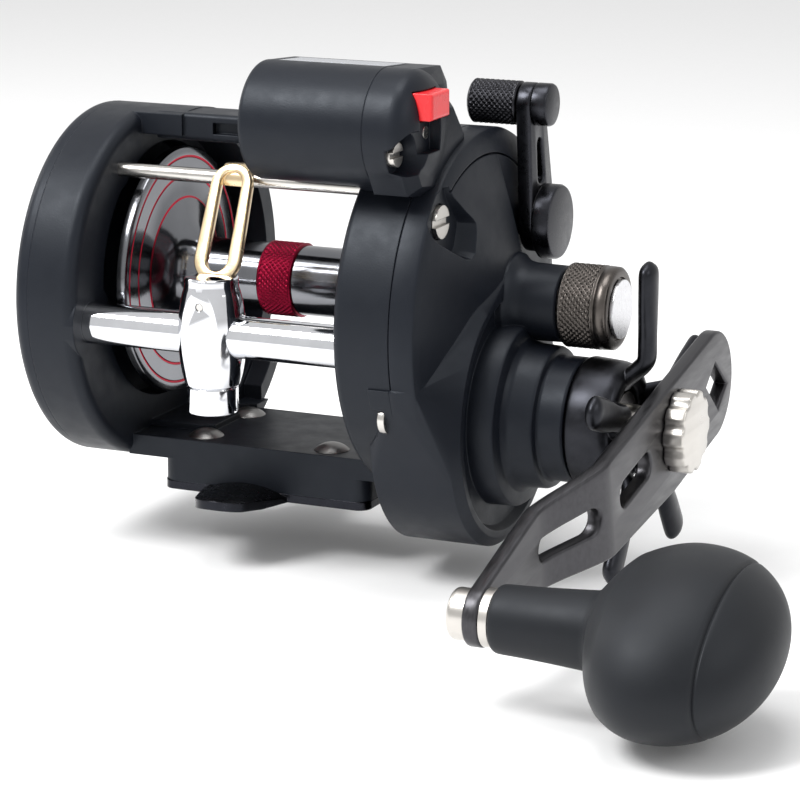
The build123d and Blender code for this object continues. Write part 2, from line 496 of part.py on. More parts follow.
# --- gears, clutch and drag ---------------------------------------------------------------------
def make_drive():
    up = towards(DRIVE, SPOOL)
    down = towards(SPOOL, DRIVE)
    parts["pinion"] = spur_gear(38.0, 46.0, PINION_TEETH, MAIN_MODULE, SPOOL, SHAFT_RADIUS + RUN, down) \
        + ring_x(30.0, 33.4, 5.4, SHAFT_RADIUS + RUN) + ring_x(33.4, 38.0, 3.4, SHAFT_RADIUS + RUN)
    yoke = block(34.4, 35.9, -14.0, 14.0, SPOOL[1] - 3.2, SPOOL[1] + 3.2) + cyl_x(34.4, 35.9, 6.4)
    yoke -= cyl_x(30, 40, 3.4 + RUN) + block(30, 40, -3.4 - RUN, 3.4 + RUN, SPOOL[1] - 12, SPOOL[1])
    for y in (-YOKE_POST_Y, YOKE_POST_Y):
        yoke -= cyl_x(30, 40, YOKE_POST_RADIUS + RUN, (y, SPOOL[1]))
    parts["clutch_yoke"] = yoke

    parts["main_gear"] = spur_gear(40.2, 43.6, GEAR_TEETH, MAIN_MODULE, DRIVE, 12.0, tooth_gap_at(up, GEAR_TEETH))
    parts["gear_cup"] = ring_x(40.2, 41.2, 12.0, 3.5, DRIVE) + ring_x(39.2, 40.2, 13.0, 3.5, DRIVE)
    leather = [ring_x(x, x + 0.6, 11.6, 3.7, DRIVE) for x in (41.2, 42.6, 44.0)]
    metal = [ring_x(x, x + 0.8, 11.6, 3.7, DRIVE) for x in (41.8, 43.2, 44.6)]
    parts["drag_washers"] = Compound(children=leather)
    parts["drag_plates"] = Compound(children=metal)
    shaft = cyl_x(33.2, 39.2, 3.0, DRIVE) + cyl_x(39.2, 46.0, 3.5, DRIVE) + cyl_x(46.0, 59.0, 4.5, DRIVE)
    shaft += cyl_x(59.0, ARM_X, 4.0, DRIVE) + cyl_x(ARM_X, 85.6, 3.0, DRIVE)
    parts["drive_shaft"] = shaft
    parts["drag_pressure_plate"] = ring_x(45.4, 46.4, 8.6, 4.6, DRIVE)
    parts["star_spring_washers"] = ring_x(72.6, 74.0, 6.4, 4.0, DRIVE)


def make_star():
    star = cyl_x(65.8, 75.0, 12.6, DRIVE)
    star = soft_edges(star, circles_at(star, 65.8), (1.0,))
    star = soft_edges(star, circles_at(star, 75.0), (1.2,))
    for n in range(STAR_ARMS):
        angle = 18 + 360 / STAR_ARMS * n
        near, middle, tip = (polar(DRIVE, r, angle) for r in (9.5, 14.0, STAR_TIP_RADIUS))
        elbow = (STAR_TIP_X - 0.6, *middle)
        star += rod((74.0, *near), elbow, 2.4) + rod(elbow, (STAR_TIP_X, *tip), 2.4)
    star -= cyl_x(60, 72.5, 4.0 + RUN, DRIVE) + cyl_x(72.0, 90, 7.0, DRIVE)
    parts["star_drag"] = star


def arm_plane():
    return Plane(origin=(0, *DRIVE), x_dir=(0, *ARM_DIRECTION), z_dir=(1, 0, 0))


def arm_hull(circles):
    """Hull of circles given as (along the arm, radius) or (along, across, radius)."""
    places = [(c[0], c[1] if len(c) == 3 else 0.0, c[-1]) for c in circles]
    return make_hull([e for u, v, r in places for e in (Pos(u, v) * Circle(r)).edges()])


def make_handle():
    u1, u2, u3 = 35.6, 35.6 + sqrt(19.0 ** 2 - ARM_STEP ** 2), ARM_LENGTH + 8
    low, high = ARM_X, ARM_X + ARM_THICKNESS
    side = Polyline((-36, low), (u1, low), (u2, low - ARM_STEP), (u3, low - ARM_STEP),
                    (u3, high - ARM_STEP), (u2 + 0.5, high - ARM_STEP), (u1 + 0.5, high), (-36, high), close=True)
    strip = Pos(0, 20, 0) * extrude(Plane.XZ * make_face(side), 40)
    outline = Sketch() + arm_hull([(-23.5, 1.3, 10.9), (2, 1.3, 10.9)]) + arm_hull([(2, 1.3, 10.9), (34, 9.6)])
    outline += arm_hull([(34, 9.6), (56, 7.6)]) + arm_hull([(56, 7.6), (ARM_LENGTH, 5.4)])
    blade = strip & extrude(Plane.XY.offset(60) * outline, 40)
    slots = [((16.5, 2.6), (28.0, 2.6)), ((41.0, 2.6), (52.5, 2.2))]
    for a, b in slots:
        blade -= extrude(Plane.XY.offset(60) * arm_hull([a, b]), 40)
    diamond = Polyline((-24.6, -3.4), (-30.6, 3.9), (-24.9, 6.8), (-18.9, -0.5), close=True)
    blade -= extrude(Plane.XY.offset(60) * make_face(diamond), 40)
    blade -= Pos(0, 0, 60) * Cylinder(3.0, 40, align=CENTRE_ON_FACE)
    blade -= Pos(ARM_LENGTH, 0, 60) * Cylinder(2.4, 40, align=CENTRE_ON_FACE)
    parts["handle_arm"] = arm_plane() * blade

    nut = cyl_x(84.0, 88.2, 8.2, DRIVE)
    for n in range(10):
        nut -= cyl_x(83, 90, 1.3, polar(DRIVE, 9.0, 36 * n))
    parts["handle_nut"] = nut - cyl_x(83, 85.6, 3.0, DRIVE)

    spindle = (DRIVE[0] + ARM_DIRECTION[0] * ARM_LENGTH, DRIVE[1] + ARM_DIRECTION[1] * ARM_LENGTH)
    x0 = ARM_X - ARM_STEP
    post = cyl_x(x0 - 3.4, x0, 4.6, spindle) + cyl_x(x0, x0 + 30, 2.4, spindle)
    parts["knob_spindle"] = soft_edges(post, circles_at(post, x0 - 3.4), (1.0,))
    parts["knob_washer"] = ring_x(x0 + 3.0, x0 + 4.6, 5.2, 2.4, spindle)
    stem = cyl_x(x0 + 4.6 + GAP, 98.0, 6.0, spindle) + cone_x(90.0, 100.0, 6.0, 11.0, spindle)
    egg_body = Pos(KNOB_X, *spindle) * scale(Sphere(1.0), by=tuple(size / 2 for size in KNOB_SIZE))
    knob = stem + egg_body - cyl_x(70, x0 + 30.6, 2.4 + RUN, spindle)
    parts["handle_knob"] = knob


# --- controls -----------------------------------------------------------------------------------
def make_controls():
    knob = cyl_x(60.0 + GAP, 70.4, 8.2)
    knob = soft_edges(knob, circles_at(knob, 70.4), (0.6,))
    knob -= cyl_x(60.0, 68.0, 5.0)
    parts["spool_tension_knob"] = knob + cyl_x(57.9, 68.0, 4.0)
    parts["spool_tension_disc"] = cyl_x(70.4, 71.1, 5.7)

    arm = hull_x(46.4, 49.4, [(*LEVER, 6.4), (*LEVER_TOP, 4.2)])
    arm -= hull_x(40, 60, [(*lever_point(0.42), 1.5), (*lever_point(0.74), 1.2)])
    arm += cyl_x(49.4, 53.0, 7.4, LEVER) + cyl_x(40.0, 46.4, 3.0, LEVER)
    parts["clutch_lever"] = arm
    grip = cyl_x(35.8, 46.0, 4.35, LEVER_TOP) + cyl_x(46.0, 46.4, 3.4, LEVER_TOP)
    parts["lever_grip"] = soft_edges(grip, circles_at(grip, 35.8), (0.8,))
    parts["lever_grip_screw"] = cyl_x(49.4, 52.6, 4.2, LEVER_TOP)

    x0 = LEFT_COVER_X[0]
    at = (CLICKER[0], CLICKER[1] - CLICKER_TRAVEL / 2)
    parts["clicker_button"] = cyl_x(x0 - 1.8, x0, 4.6, at) + cyl_x(x0, x0 + 1.8, 0.9, at)


def lever_point(share):
    return (LEVER[0] + (LEVER_TOP[0] - LEVER[0]) * share, LEVER[1] + (LEVER_TOP[1] - LEVER[1]) * share)


parts["frame"] = make_frame()
make_counter()
make_left_cover()
make_right_cover()
make_fittings()
make_spool()
make_level_wind()
make_drive()
make_star()
make_handle()
make_controls()

os.makedirs("parts", exist_ok=True)
for name, shape in parts.items():
    export_step(shape, f"parts/{name}.step")
print(len(parts), "nodes")
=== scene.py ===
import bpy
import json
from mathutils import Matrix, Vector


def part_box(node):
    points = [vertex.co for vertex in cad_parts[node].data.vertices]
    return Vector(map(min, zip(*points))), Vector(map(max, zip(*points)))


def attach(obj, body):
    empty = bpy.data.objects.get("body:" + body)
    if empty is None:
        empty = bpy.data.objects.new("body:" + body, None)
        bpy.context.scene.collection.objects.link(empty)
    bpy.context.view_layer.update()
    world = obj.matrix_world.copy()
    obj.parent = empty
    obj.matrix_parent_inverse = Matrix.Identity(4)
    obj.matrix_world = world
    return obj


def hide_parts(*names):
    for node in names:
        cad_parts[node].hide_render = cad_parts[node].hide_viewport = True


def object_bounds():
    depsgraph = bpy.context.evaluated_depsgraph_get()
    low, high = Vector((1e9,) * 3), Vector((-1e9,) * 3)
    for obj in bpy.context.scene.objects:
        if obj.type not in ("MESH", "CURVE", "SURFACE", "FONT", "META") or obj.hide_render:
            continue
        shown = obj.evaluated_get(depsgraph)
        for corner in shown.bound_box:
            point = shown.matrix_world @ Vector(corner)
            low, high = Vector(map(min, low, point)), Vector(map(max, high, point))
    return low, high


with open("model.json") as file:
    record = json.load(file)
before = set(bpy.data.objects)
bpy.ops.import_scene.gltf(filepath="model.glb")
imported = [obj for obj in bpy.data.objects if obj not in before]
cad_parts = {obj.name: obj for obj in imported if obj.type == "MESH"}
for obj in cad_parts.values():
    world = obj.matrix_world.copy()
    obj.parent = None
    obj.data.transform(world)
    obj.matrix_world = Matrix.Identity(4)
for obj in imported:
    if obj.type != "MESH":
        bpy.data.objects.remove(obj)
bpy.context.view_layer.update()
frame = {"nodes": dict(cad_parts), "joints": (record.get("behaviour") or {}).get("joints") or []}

import json
from math import atan2, cos, exp, hypot, pi, radians, sin, sqrt

import bmesh
import bpy
from mathutils import Matrix, Vector

MM = 0.001
NODES = frame["nodes"]
JOINTS = {joint["name"]: joint for joint in frame["joints"]}


def joint_axis(name):
    """(y, z) in millimetres of a joint whose axis runs along X."""
    place = JOINTS[name]["pos_m"]
    return (place[1] / MM, place[2] / MM)


def extent(node, axis):
    """Lowest and highest value of a CAD node along an axis, in millimetres."""
    low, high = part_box(node)
    return (low[axis] / MM, high[axis] / MM)


def middle(node):
    """(y, z) in millimetres of the middle of a CAD node."""
    return tuple(sum(extent(node, axis)) / 2 for axis in (1, 2))


SPOOL = joint_axis("spool_spin")
DRIVE = joint_axis("handle_spin")
TUBE = joint_axis("worm_spin")
KNOB = joint_axis("knob_spin")
LEVER = joint_axis("clutch_throw")
BAR = middle("guide_bar")
BAR_RADIUS = (extent("guide_bar", 2)[1] - extent("guide_bar", 2)[0]) / 2
CARRIAGE_X = sum(extent("carriage", 0)) / 2
SEAM = extent("frame", 0)[1]                  # x where the right side cover meets the frame
PLATE = (SPOOL[0] - 3.0, SPOOL[1] - 1.9)      # the side plates sit forward of the spool and lower
PLATE_RADIUS = 35.6
PROUD_RADIUS = 36.0                           # the gear housing and the frame's ear stand out of the plate
LOBE_START = 32.0                             # x where the gear housing's skirt begins
COUNTER = (SPOOL[0] - 27.5, SPOOL[1] + 36.8)  # the counter's barrel
LEVER_TOP = middle("lever_grip")
MIX_COLOURS, MIX_RESULT = (6, 7), 2           # sockets of a Mix node, where their names repeat
BEVEL_SAMPLES = 6


# --- materials ----------------------------------------------------------------------------------
class Shader:
    """A Principled material and short calls for the nodes that feed it."""

    def __init__(self, name):
        self.material = bpy.data.materials.new(name)
        self.material.use_nodes = True
        self.tree = self.material.node_tree
        self.surface = self.tree.nodes["Principled BSDF"]
        self.place = self.add("ShaderNodeTexCoord").outputs["Object"]

    def add(self, kind, **settings):
        """New node with its settings."""
        node = self.tree.nodes.new(kind)
        for key, value in settings.items():
            setattr(node, key, value)
        return node

    def put(self, socket, value):
        """Sets a socket of the surface, from a number, a colour or another node."""
        target = self.surface.inputs[socket]
        if isinstance(value, bpy.types.NodeSocket):
            self.tree.links.new(value, target)
        else:
            target.default_value = (*value, 1.0) if isinstance(value, tuple) else value

    def noise(self, per_mm, stretch=(1, 1, 1), detail=3.0, roughness=0.55):
        """Noise in the object's own space, so many waves per millimetre."""
        mapping = self.add("ShaderNodeMapping")
        self.tree.links.new(self.place, mapping.inputs["Vector"])
        mapping.inputs["Scale"].default_value = [1000 * per_mm * s for s in stretch]
        texture = self.add("ShaderNodeTexNoise")
        texture.inputs["Scale"].default_value = 1.0
        texture.inputs["Detail"].default_value = detail
        texture.inputs["Roughness"].default_value = roughness
        self.tree.links.new(mapping.outputs["Vector"], texture.inputs["Vector"])
        return texture.outputs["Fac"]

    def ramp(self, value, stops):
        """Colour from a value, by (position, colour) stops."""
        node = self.add("ShaderNodeValToRGB")
        elements = node.color_ramp.elements
        while len(elements) < len(stops):
            elements.new(0.5)
        for element, (position, colour) in zip(elements, stops):
            element.position = position
            element.color = (*colour, 1.0)
        self.tree.links.new(value, node.inputs["Fac"])
        return node.outputs["Color"]

    def span(self, value, low, high, from_low=0.3, from_high=0.7):
        """Value moved from one range to another."""
        node = self.add("ShaderNodeMapRange")
        ends = {"From Min": from_low, "From Max": from_high, "To Min": low, "To Max": high}
        for key, number in ends.items():
            node.inputs[key].default_value = number
        self.tree.links.new(value, node.inputs["Value"])
        return node.outputs["Result"]

    def bump(self, height, depth_mm, strength=1.0, under=None):
        """Normal of a relief, laid over another normal."""
        node = self.add("ShaderNodeBump")
        node.inputs["Distance"].default_value = depth_mm * MM
        node.inputs["Strength"].default_value = strength
        self.tree.links.new(height, node.inputs["Height"])
        if under is not None:
            self.tree.links.new(under, node.inputs["Normal"])
        return node.outputs["Normal"]

    def round_edges(self, radius_mm):
        """Normal that makes sharp edges look rounded."""
        node = self.add("ShaderNodeBevel", samples=BEVEL_SAMPLES)
        node.inputs["Radius"].default_value = radius_mm * MM
        return node.outputs["Normal"]

    def mix(self, factor, first, second):
        """Mix of two colours, each given as numbers or by another node."""
        node = self.add("ShaderNodeMix", data_type="RGBA")
        self.tree.links.new(factor, node.inputs["Factor"])
        for place, value in zip(MIX_COLOURS, (first, second)):
            if isinstance(value, bpy.types.NodeSocket):
                self.tree.links.new(value, node.inputs[place])
            else:
                node.inputs[place].default_value = (*value, 1.0)
        return node.outputs[MIX_RESULT]

    def worn_edges(self, radius_mm, low=0.05, high=0.35):
        """Painted highlight: white where the surface turns sharply, along its edges."""
        geometry = self.add("ShaderNodeNewGeometry")
        dot = self.add("ShaderNodeVectorMath", operation="DOT_PRODUCT")
        self.tree.links.new(self.round_edges(radius_mm), dot.inputs[0])
        self.tree.links.new(geometry.outputs["Normal"], dot.inputs[1])
        return self.span(dot.outputs["Value"], 1.0, 0.0, 1.0 - high, 1.0 - low)


def tint(colour, factor):
    """Lighter or darker colour."""
    return tuple(min(1.0, c * factor) for c in colour)


def moulded(name, colour, rough, grain=0.03, grain_per_mm=3.2, edge=0.35):
    """Fine-textured plastic or cast metal: soft colour drift, grain and a painted highlight on sharp edges.
    """
    s = Shader(name)
    drift = s.noise(0.035, detail=4.0)
    fine = s.noise(grain_per_mm, detail=2.0)
    base = s.ramp(drift, [(0.32, tint(colour, 0.88)), (0.68, tint(colour, 1.12))])
    # painted highlight: the colour turns lighter along sharp edges
    s.put("Base Color", s.mix(s.worn_edges(0.35), base, tint(colour, 1.7)))
    s.put("Roughness", s.span(s.noise(0.25, detail=5.0), rough - 0.05, rough + 0.06))
    s.put("Specular IOR Level", 0.27)
    s.put("Specular Tint", (0.86, 0.92, 1.0))
    s.put("Normal", s.bump(fine, grain, 0.6, s.round_edges(edge)))
    return s.material


def turned_metal(name, colour, rough, lines=0.004, per_mm=5.0, stretch=(1, 0.02, 0.02), edge=0.2,
                 tarnish=0.06):
    """Metal turned on a lathe: fine lines round the X axis, slight smudges."""
    s = Shader(name)
    s.put("Metallic", 1.0)
    smudge = s.noise(0.18, detail=5.0)
    stops = [(0.3, tint(colour, 1.0 - tarnish)), (0.7, tint(colour, 1.0 + tarnish))]
    s.put("Base Color", s.ramp(smudge, stops))
    s.put("Roughness", s.span(smudge, max(rough - 0.03, 0.02), rough + 0.05))
    s.put("Normal", s.bump(s.noise(per_mm, stretch, detail=2.0), lines, 0.7, s.round_edges(edge)))
    return s.material


def brushed(name, colour, rough, stretch, depth=0.008, per_mm=2.5, edge=0.3):
    """Flat metal with straight brush marks and a painted highlight on its edges."""
    s = Shader(name)
    s.put("Metallic", 1.0)
    marks = s.noise(per_mm, stretch, detail=4.0)
    base = s.ramp(marks, [(0.3, tint(colour, 0.85)), (0.7, tint(colour, 1.15))])
    # painted highlight: the colour turns lighter along sharp edges
    s.put("Base Color", s.mix(s.worn_edges(0.3), base, tint(colour, 2.0)))
    s.put("Roughness", s.span(marks, rough - 0.06, rough + 0.08))
    s.put("Normal", s.bump(marks, depth, 0.5, s.round_edges(edge)))
    return s.material


def anodised(name, colour, rough, highlight_colour, edge=0.12):
    """Coloured metal with a painted highlight on its edges and high points."""
    s = Shader(name)
    s.put("Metallic", 1.0)
    patches = s.noise(0.5, detail=4.0)
    base = s.ramp(patches, [(0.3, tint(colour, 0.85)), (0.7, tint(colour, 1.15))])
    # painted highlight: edges and knurl peaks take the lighter highlight colour
    s.put("Base Color", s.mix(s.worn_edges(0.12, 0.02, 0.25), base, highlight_colour))
    s.put("Roughness", s.span(patches, rough - 0.05, rough + 0.07))
    s.put("Normal", s.round_edges(edge))
    return s.material


def rubbery(name, colour):
    """Soft-touch grip: very fine stipple, faint sheen and lighter scuffs."""
    s = Shader(name)
    stipple = s.noise(4.5, detail=2.0)
    scuff = s.noise(0.09, detail=6.0)
    s.put("Base Color", s.ramp(scuff, [(0.35, tint(colour, 0.9)), (0.75, tint(colour, 1.25))]))
    s.put("Roughness", s.span(scuff, 0.46, 0.58))
    s.put("Specular IOR Level", 0.30)
    s.put("Specular Tint", (0.90, 0.94, 1.0))
    s.put("Sheen Weight", 0.03)
    s.put("Normal", s.bump(stipple, 0.02, 0.5))
    return s.material


def lens(name):
    """Clear window with faint smudges and a slight wave."""
    s = Shader(name)
    s.put("Base Color", (0.78, 0.84, 0.98))
    s.put("Transmission Weight", 0.75)
    s.put("IOR", 1.46)
    s.put("Roughness", s.span(s.noise(0.3, detail=4.0), 0.02, 0.07))
    s.put("Normal", s.bump(s.noise(1.0), 0.002, 0.3))
    return s.material


def glossy_plastic(name, colour):
    """Polished plastic with a thin clear coat and a flow pattern."""
    s = Shader(name)
    flow = s.noise(0.2, detail=3.0)
    s.put("Base Color", s.ramp(flow, [(0.3, tint(colour, 0.93)), (0.7, tint(colour, 1.05))]))
    s.put("Roughness", s.span(flow, 0.24, 0.34))
    s.put("Coat Weight", 0.25)
    s.put("Normal", s.bump(s.noise(0.8), 0.01, 0.3, s.round_edges(0.4)))
    return s.material


def paper(name, colour):
    """Smooth white backdrop with a barely visible tone."""
    s = Shader(name)
    s.put("Base Color", s.ramp(s.noise(0.4), [(0.3, tint(colour, 0.995)), (0.7, tint(colour, 1.005))]))
    s.put("Roughness", 0.9)
    s.put("Specular IOR Level", 0.1)
    return s.material


BODY = moulded("body_black", (0.0062, 0.0076, 0.0115), 0.44)
COVER = moulded("cover_black", (0.0062, 0.0076, 0.0118), 0.42)
CHROME = turned_metal("chrome", (0.79, 0.80, 0.83), 0.07, lines=0.0012)
STEEL = turned_metal("steel", (0.60, 0.58, 0.55), 0.22)
NICKEL = turned_metal("nickel", (0.60, 0.575, 0.54), 0.30, lines=0.006)
SPOOL_METAL = turned_metal("spool_gunmetal", (0.20, 0.205, 0.22), 0.13, lines=0.003, stretch=(0.02, 1, 1))
RING_RED = anodised("groove_red", (0.55, 0.02, 0.05), 0.35, (0.7, 0.05, 0.09))
KNURL_RED = anodised("knurl_red", (0.24, 0.008, 0.03), 0.34, (0.62, 0.10, 0.16))
GOLD = turned_metal("pale_gold", (0.74, 0.585, 0.37), 0.24, lines=0.003, stretch=(1, 1, 1))
BLACK_METAL = anodised("black_anodised", (0.035, 0.036, 0.042), 0.28, (0.25, 0.25, 0.27), edge=0.3)
STAR_BLACK = anodised("star_black", (0.030, 0.031, 0.036), 0.34, (0.12, 0.12, 0.13), edge=0.3)
KNURL_BLACK = anodised("knurl_black", (0.03, 0.03, 0.034), 0.30, (0.30, 0.30, 0.32))
KNURL_BRONZE = anodised("knurl_bronze", (0.11, 0.098, 0.09), 0.30, (0.50, 0.46, 0.43))
SILVER = brushed("silver_disc", (0.80, 0.80, 0.82), 0.30, (0.05, 1, 0.3), edge=0.2)
ARM_GREY = brushed("arm_gunmetal", (0.066, 0.065, 0.070), 0.34, (1, 0.05, 0.3))
RUBBER = rubbery("grip_rubber", (0.0062, 0.0070, 0.0090))
FOOT = anodised("foot_black", (0.022, 0.023, 0.028), 0.24, (0.10, 0.10, 0.11), edge=0.4)
RED_PLASTIC = glossy_plastic("button_red", (0.75, 0.012, 0.018))
WHEEL_WHITE = glossy_plastic("wheel_white", (0.75, 0.75, 0.73))
LENS = lens("window_lens")
BRASS = turned_metal("gear_brass", (0.72, 0.53, 0.26), 0.28, lines=0.004)
FIBRE = moulded("drag_fibre", (0.05, 0.045, 0.04), 0.6)
FLOOR = paper("floor", (0.93, 0.93, 0.93))
RIVET = turned_metal("rivet_gunmetal", (0.22, 0.215, 0.21), 0.34, lines=0.006, stretch=(1, 1, 1))

FINISHES = {
    BODY: ["frame", "counter_housing", "counter_end_cap"],
    COVER: ["left_side_cover", "right_side_cover", "clicker_button"],
    FOOT: ["reel_foot"],
    RIVET: ["foot_rivets"],
    CHROME: ["level_wind_tube"],
    STEEL: ["guide_bar", "spool_shaft", "counter_shaft", "left_spool_bearing", "right_spool_bearing",
            "anti_reverse_bearing", "idler_post", "yoke_posts", "drag_plates", "drag_pressure_plate",
            "star_spring_washers", "clutch_dog", "clutch_yoke", "pinion", "gear_cup", "level_wind_pawl"],
    NICKEL: ["knob_washer", "counter_screw", "front_cover_screw", "left_cover_screws", "knob_spindle",
             "drive_shaft"],
    RED_PLASTIC: ["reset_button"],
    LENS: ["counter_window"],
    BRASS: ["main_gear", "level_wind_idler", "worm_gear", "level_wind_drive_gear", "drive_bush",
            "worm_bushes"],
    FIBRE: ["drag_washers"],
    SILVER: ["spool_tension_disc"],
}
for finish, members in FINISHES.items():
    for member in members:
        slots = NODES[member].data.materials
        slots.clear()
        slots.append(finish)


# --- mesh helpers -------------------------------------------------------------------------------
def add_object(name, data):
    """New object in the scene, from a mesh, a curve, a lamp or a camera."""
    obj = bpy.data.objects.new(name, data)
    bpy.context.scene.collection.objects.link(obj)
    return obj


def applied_mesh(obj):
    """Mesh of an object with its modifiers or its curve settings applied."""
    return bpy.data.meshes.new_from_object(obj.evaluated_get(bpy.context.evaluated_depsgraph_get()))


def mesh_object(name, points, faces, materials, face_materials=None, sharp=35.0):
    """Object from points in millimetres, smooth except at sharp edges."""
    mesh = bpy.data.meshes.new(name)
    mesh.from_pydata([Vector(p) * MM for p in points], [], faces)
    for material in materials:
        mesh.materials.append(material)
    if face_materials:
        mesh.polygons.foreach_set("material_index", face_materials)
    tidy_mesh(mesh, sharp)
    return add_object(name, mesh)


def tidy_mesh(mesh, sharp):
    """Merges doubled points, turns faces outwards and smooths all but the sharp edges."""
    work = bmesh.new()
    work.from_mesh(mesh)
    bmesh.ops.remove_doubles(work, verts=work.verts, dist=1e-6)
    bmesh.ops.dissolve_degenerate(work, edges=work.edges, dist=1e-7)
    bmesh.ops.recalc_face_normals(work, faces=work.faces)
    work.to_mesh(mesh)
    work.free()
    mesh.shade_smooth()
    mesh.set_sharp_from_angle(angle=radians(sharp))


def settle(obj, sharp=35.0):
    """Applies the modifiers of an object and smooths it."""
    shaped = applied_mesh(obj)
    obj.modifiers.clear()
    obj.data = shaped
    tidy_mesh(shaped, sharp)


def ring_faces(rows, count):
    """Quads between rows of count points that follow one another."""
    faces = []
    for j in range(rows - 1):
        for i in range(count):
            k = (i + 1) % count
            faces.append((j * count + i, j * count + k, (j + 1) * count + k, (j + 1) * count + i))
    return faces


def end_faces(rows, count):
    """The first and the last row of a tube as faces that close it."""
    return [tuple(range(count))[::-1], tuple(range((rows - 1) * count, rows * count))]


def lathe(name, profile, axis, materials, marks=None, segments=128, shape=None, sharp=35.0):
    """Turns (x, radius) points round an axis along X. shape(x, r, angle) may change a radius; marks
    picks a material for each band."""
    points = []
    for x, r in profile:
        for i in range(segments):
            a = 2 * pi * i / segments
            turned = shape(x, r, a) if shape else r
            points.append((x, axis[0] + turned * cos(a), axis[1] + turned * sin(a)))
    picks = [mark for mark in marks for _ in range(segments)] if marks else None
    return mesh_object(name, points, ring_faces(len(profile), segments), materials, picks, sharp)


def turned_z(name, profile, centre, material, segments=96):
    """Turns (z, radius) points round an upright axis."""
    points = []
    for z, r in profile:
        for i in range(segments):
            a = 2 * pi * i / segments
            points.append((centre[0] + r * cos(a), centre[1] + r * sin(a), z))
    faces = ring_faces(len(profile), segments) + end_faces(len(profile), segments)
    return mesh_object(name, points, faces, [material], sharp=28)


def peg_y(name, radius, length, place, count=24):
    """Short flat-shaded cylinder along Y, round a place in millimetres."""
    points = []
    for y in (place[1] - length / 2, place[1] + length / 2):
        for i in range(count):
            a = 2 * pi * i / count
            points.append(Vector((place[0] + radius * cos(a), y, place[2] + radius * sin(a))) * MM)
    mesh = bpy.data.meshes.new(name)
    mesh.from_pydata(points, [], ring_faces(2, count) + end_faces(2, count))
    work = bmesh.new()
    work.from_mesh(mesh)
    bmesh.ops.recalc_face_normals(work, faces=work.faces)
    work.to_mesh(mesh)
    work.free()
    return add_object(name, mesh)


def closed(profile):
    """Adds the points on the axis that close a turned solid."""
    return [(profile[0][0], 0.0)] + profile + [(profile[-1][0], 0.0)]


def knurl(x0, x1, pitch, depth, count):
    """Radius change of a diamond knurl between x0 and x1: crossed V grooves that fade at both ends."""
    fade_length = 0.4

    def change(x, r, a):
        if not x0 <= x <= x1:
            return r
        first = (a * count / (2 * pi) + (x - x0) / pitch) % 1.0
        second = (a * count / (2 * pi) - (x - x0) / pitch) % 1.0
        groove = max(abs(first - 0.5), abs(second - 0.5)) * 2
        fade = min(1.0, (x - x0) / fade_length, (x1 - x) / fade_length)
        return r - depth * fade * max(0.0, groove * 1.25 - 0.25)
    return change


def steps(x0, x1, step):
    """Even values from x0 to x1, about one step apart."""
    count = max(1, round((x1 - x0) / step))
    return [x0 + (x1 - x0) * i / count for i in range(count + 1)]


def arc(cx, cy, r, a0, a1, count=24):
    """Points of an arc from one angle to another, in degrees."""
    angles = [radians(a0 + (a1 - a0) * i / count) for i in range(count + 1)]
    return [(cx + r * cos(a), cy + r * sin(a)) for a in angles]


def slot_outline(a, b, ra, rb, count=16):
    """Rounded slot between two points, wound the other way from an outline."""
    turn = atan2(b[1] - a[1], b[0] - a[0]) * 180 / pi
    path = arc(*a, ra, turn + 90, turn + 270, count) + arc(*b, rb, turn - 90, turn + 90, count)
    return path[::-1]


def drawn_in(outline, centre, share):
    """Outline scaled towards a centre."""
    return [(centre[0] + (v - centre[0]) * share, centre[1] + (w - centre[1]) * share) for v, w in outline]


def plate(name, loops, thickness, bevel, place, material, cuts=(), bend=None):
    """Plate with rounded edges from closed outlines in its own (u, v) plane, put in place by a matrix.
    bend(point) may move a point, and cuts are the values of u where it gets more points."""
    curve = bpy.data.curves.new(name, "CURVE")
    curve.dimensions = "2D"
    curve.fill_mode = "BOTH"
    for loop in loops:
        spline = curve.splines.new("POLY")
        spline.points.add(len(loop) - 1)
        for point, (u, v) in zip(spline.points, loop):
            point.co = (u, v, 0, 1)
        spline.use_cyclic_u = True
    curve.extrude = thickness / 2 - bevel
    curve.bevel_depth = bevel
    curve.bevel_resolution = 2
    curve.offset = -bevel
    flat = add_object(name, curve)
    mesh = applied_mesh(flat)
    bpy.data.objects.remove(flat)
    work = bmesh.new()
    work.from_mesh(mesh)
    bmesh.ops.remove_doubles(work, verts=work.verts, dist=1e-4)
    for u in cuts:
        parts = work.verts[:] + work.edges[:] + work.faces[:]
        bmesh.ops.bisect_plane(work, geom=parts, plane_co=(u, 0, 0), plane_no=(1, 0, 0))
    for vertex in work.verts:
        if bend:
            vertex.co = bend(vertex.co)
        vertex.co = place @ vertex.co * MM
    work.to_mesh(mesh)
    work.free()
    mesh.materials.clear()
    mesh.materials.append(material)
    tidy_mesh(mesh, 40.0)
    return add_object(name, mesh)


def face_plane(x, at, direction=(1.0, 0.0)):
    """Matrix of a plane square to X whose first axis runs along direction in (y, z)."""
    length = hypot(*direction)
    c, s = direction[0] / length, direction[1] / length
    return Matrix(((0, 0, 1, x), (c, -s, 0, at[0]), (s, c, 0, at[1]), (0, 0, 0, 1)))


def finger(points, radii, squash, segments=20):
    """Rings of points along a bent bar; squash flattens each ring across the bar."""
    rings = []
    for i, (p, r) in enumerate(zip(points, radii)):
        ahead = (points[min(i + 1, len(points) - 1)] - points[max(i - 1, 0)]).normalized()
        side = ahead.cross(squash).normalized()
        up = side.cross(ahead).normalized()
        rings.append([p + side * r[0] * cos(2 * pi * k / segments) + up * r[1] * sin(2 * pi * k / segments)
                      for k in range(segments)])
    return rings


def loft(rings, points, faces):
    """Adds a closed tube through rings of points to lists of points and faces."""
    start, rows, count = len(points), len(rings), len(rings[0])
    for ring in rings:
        points.extend(ring)
    for face in ring_faces(rows, count) + end_faces(rows, count):
        faces.append(tuple(start + i for i in face))


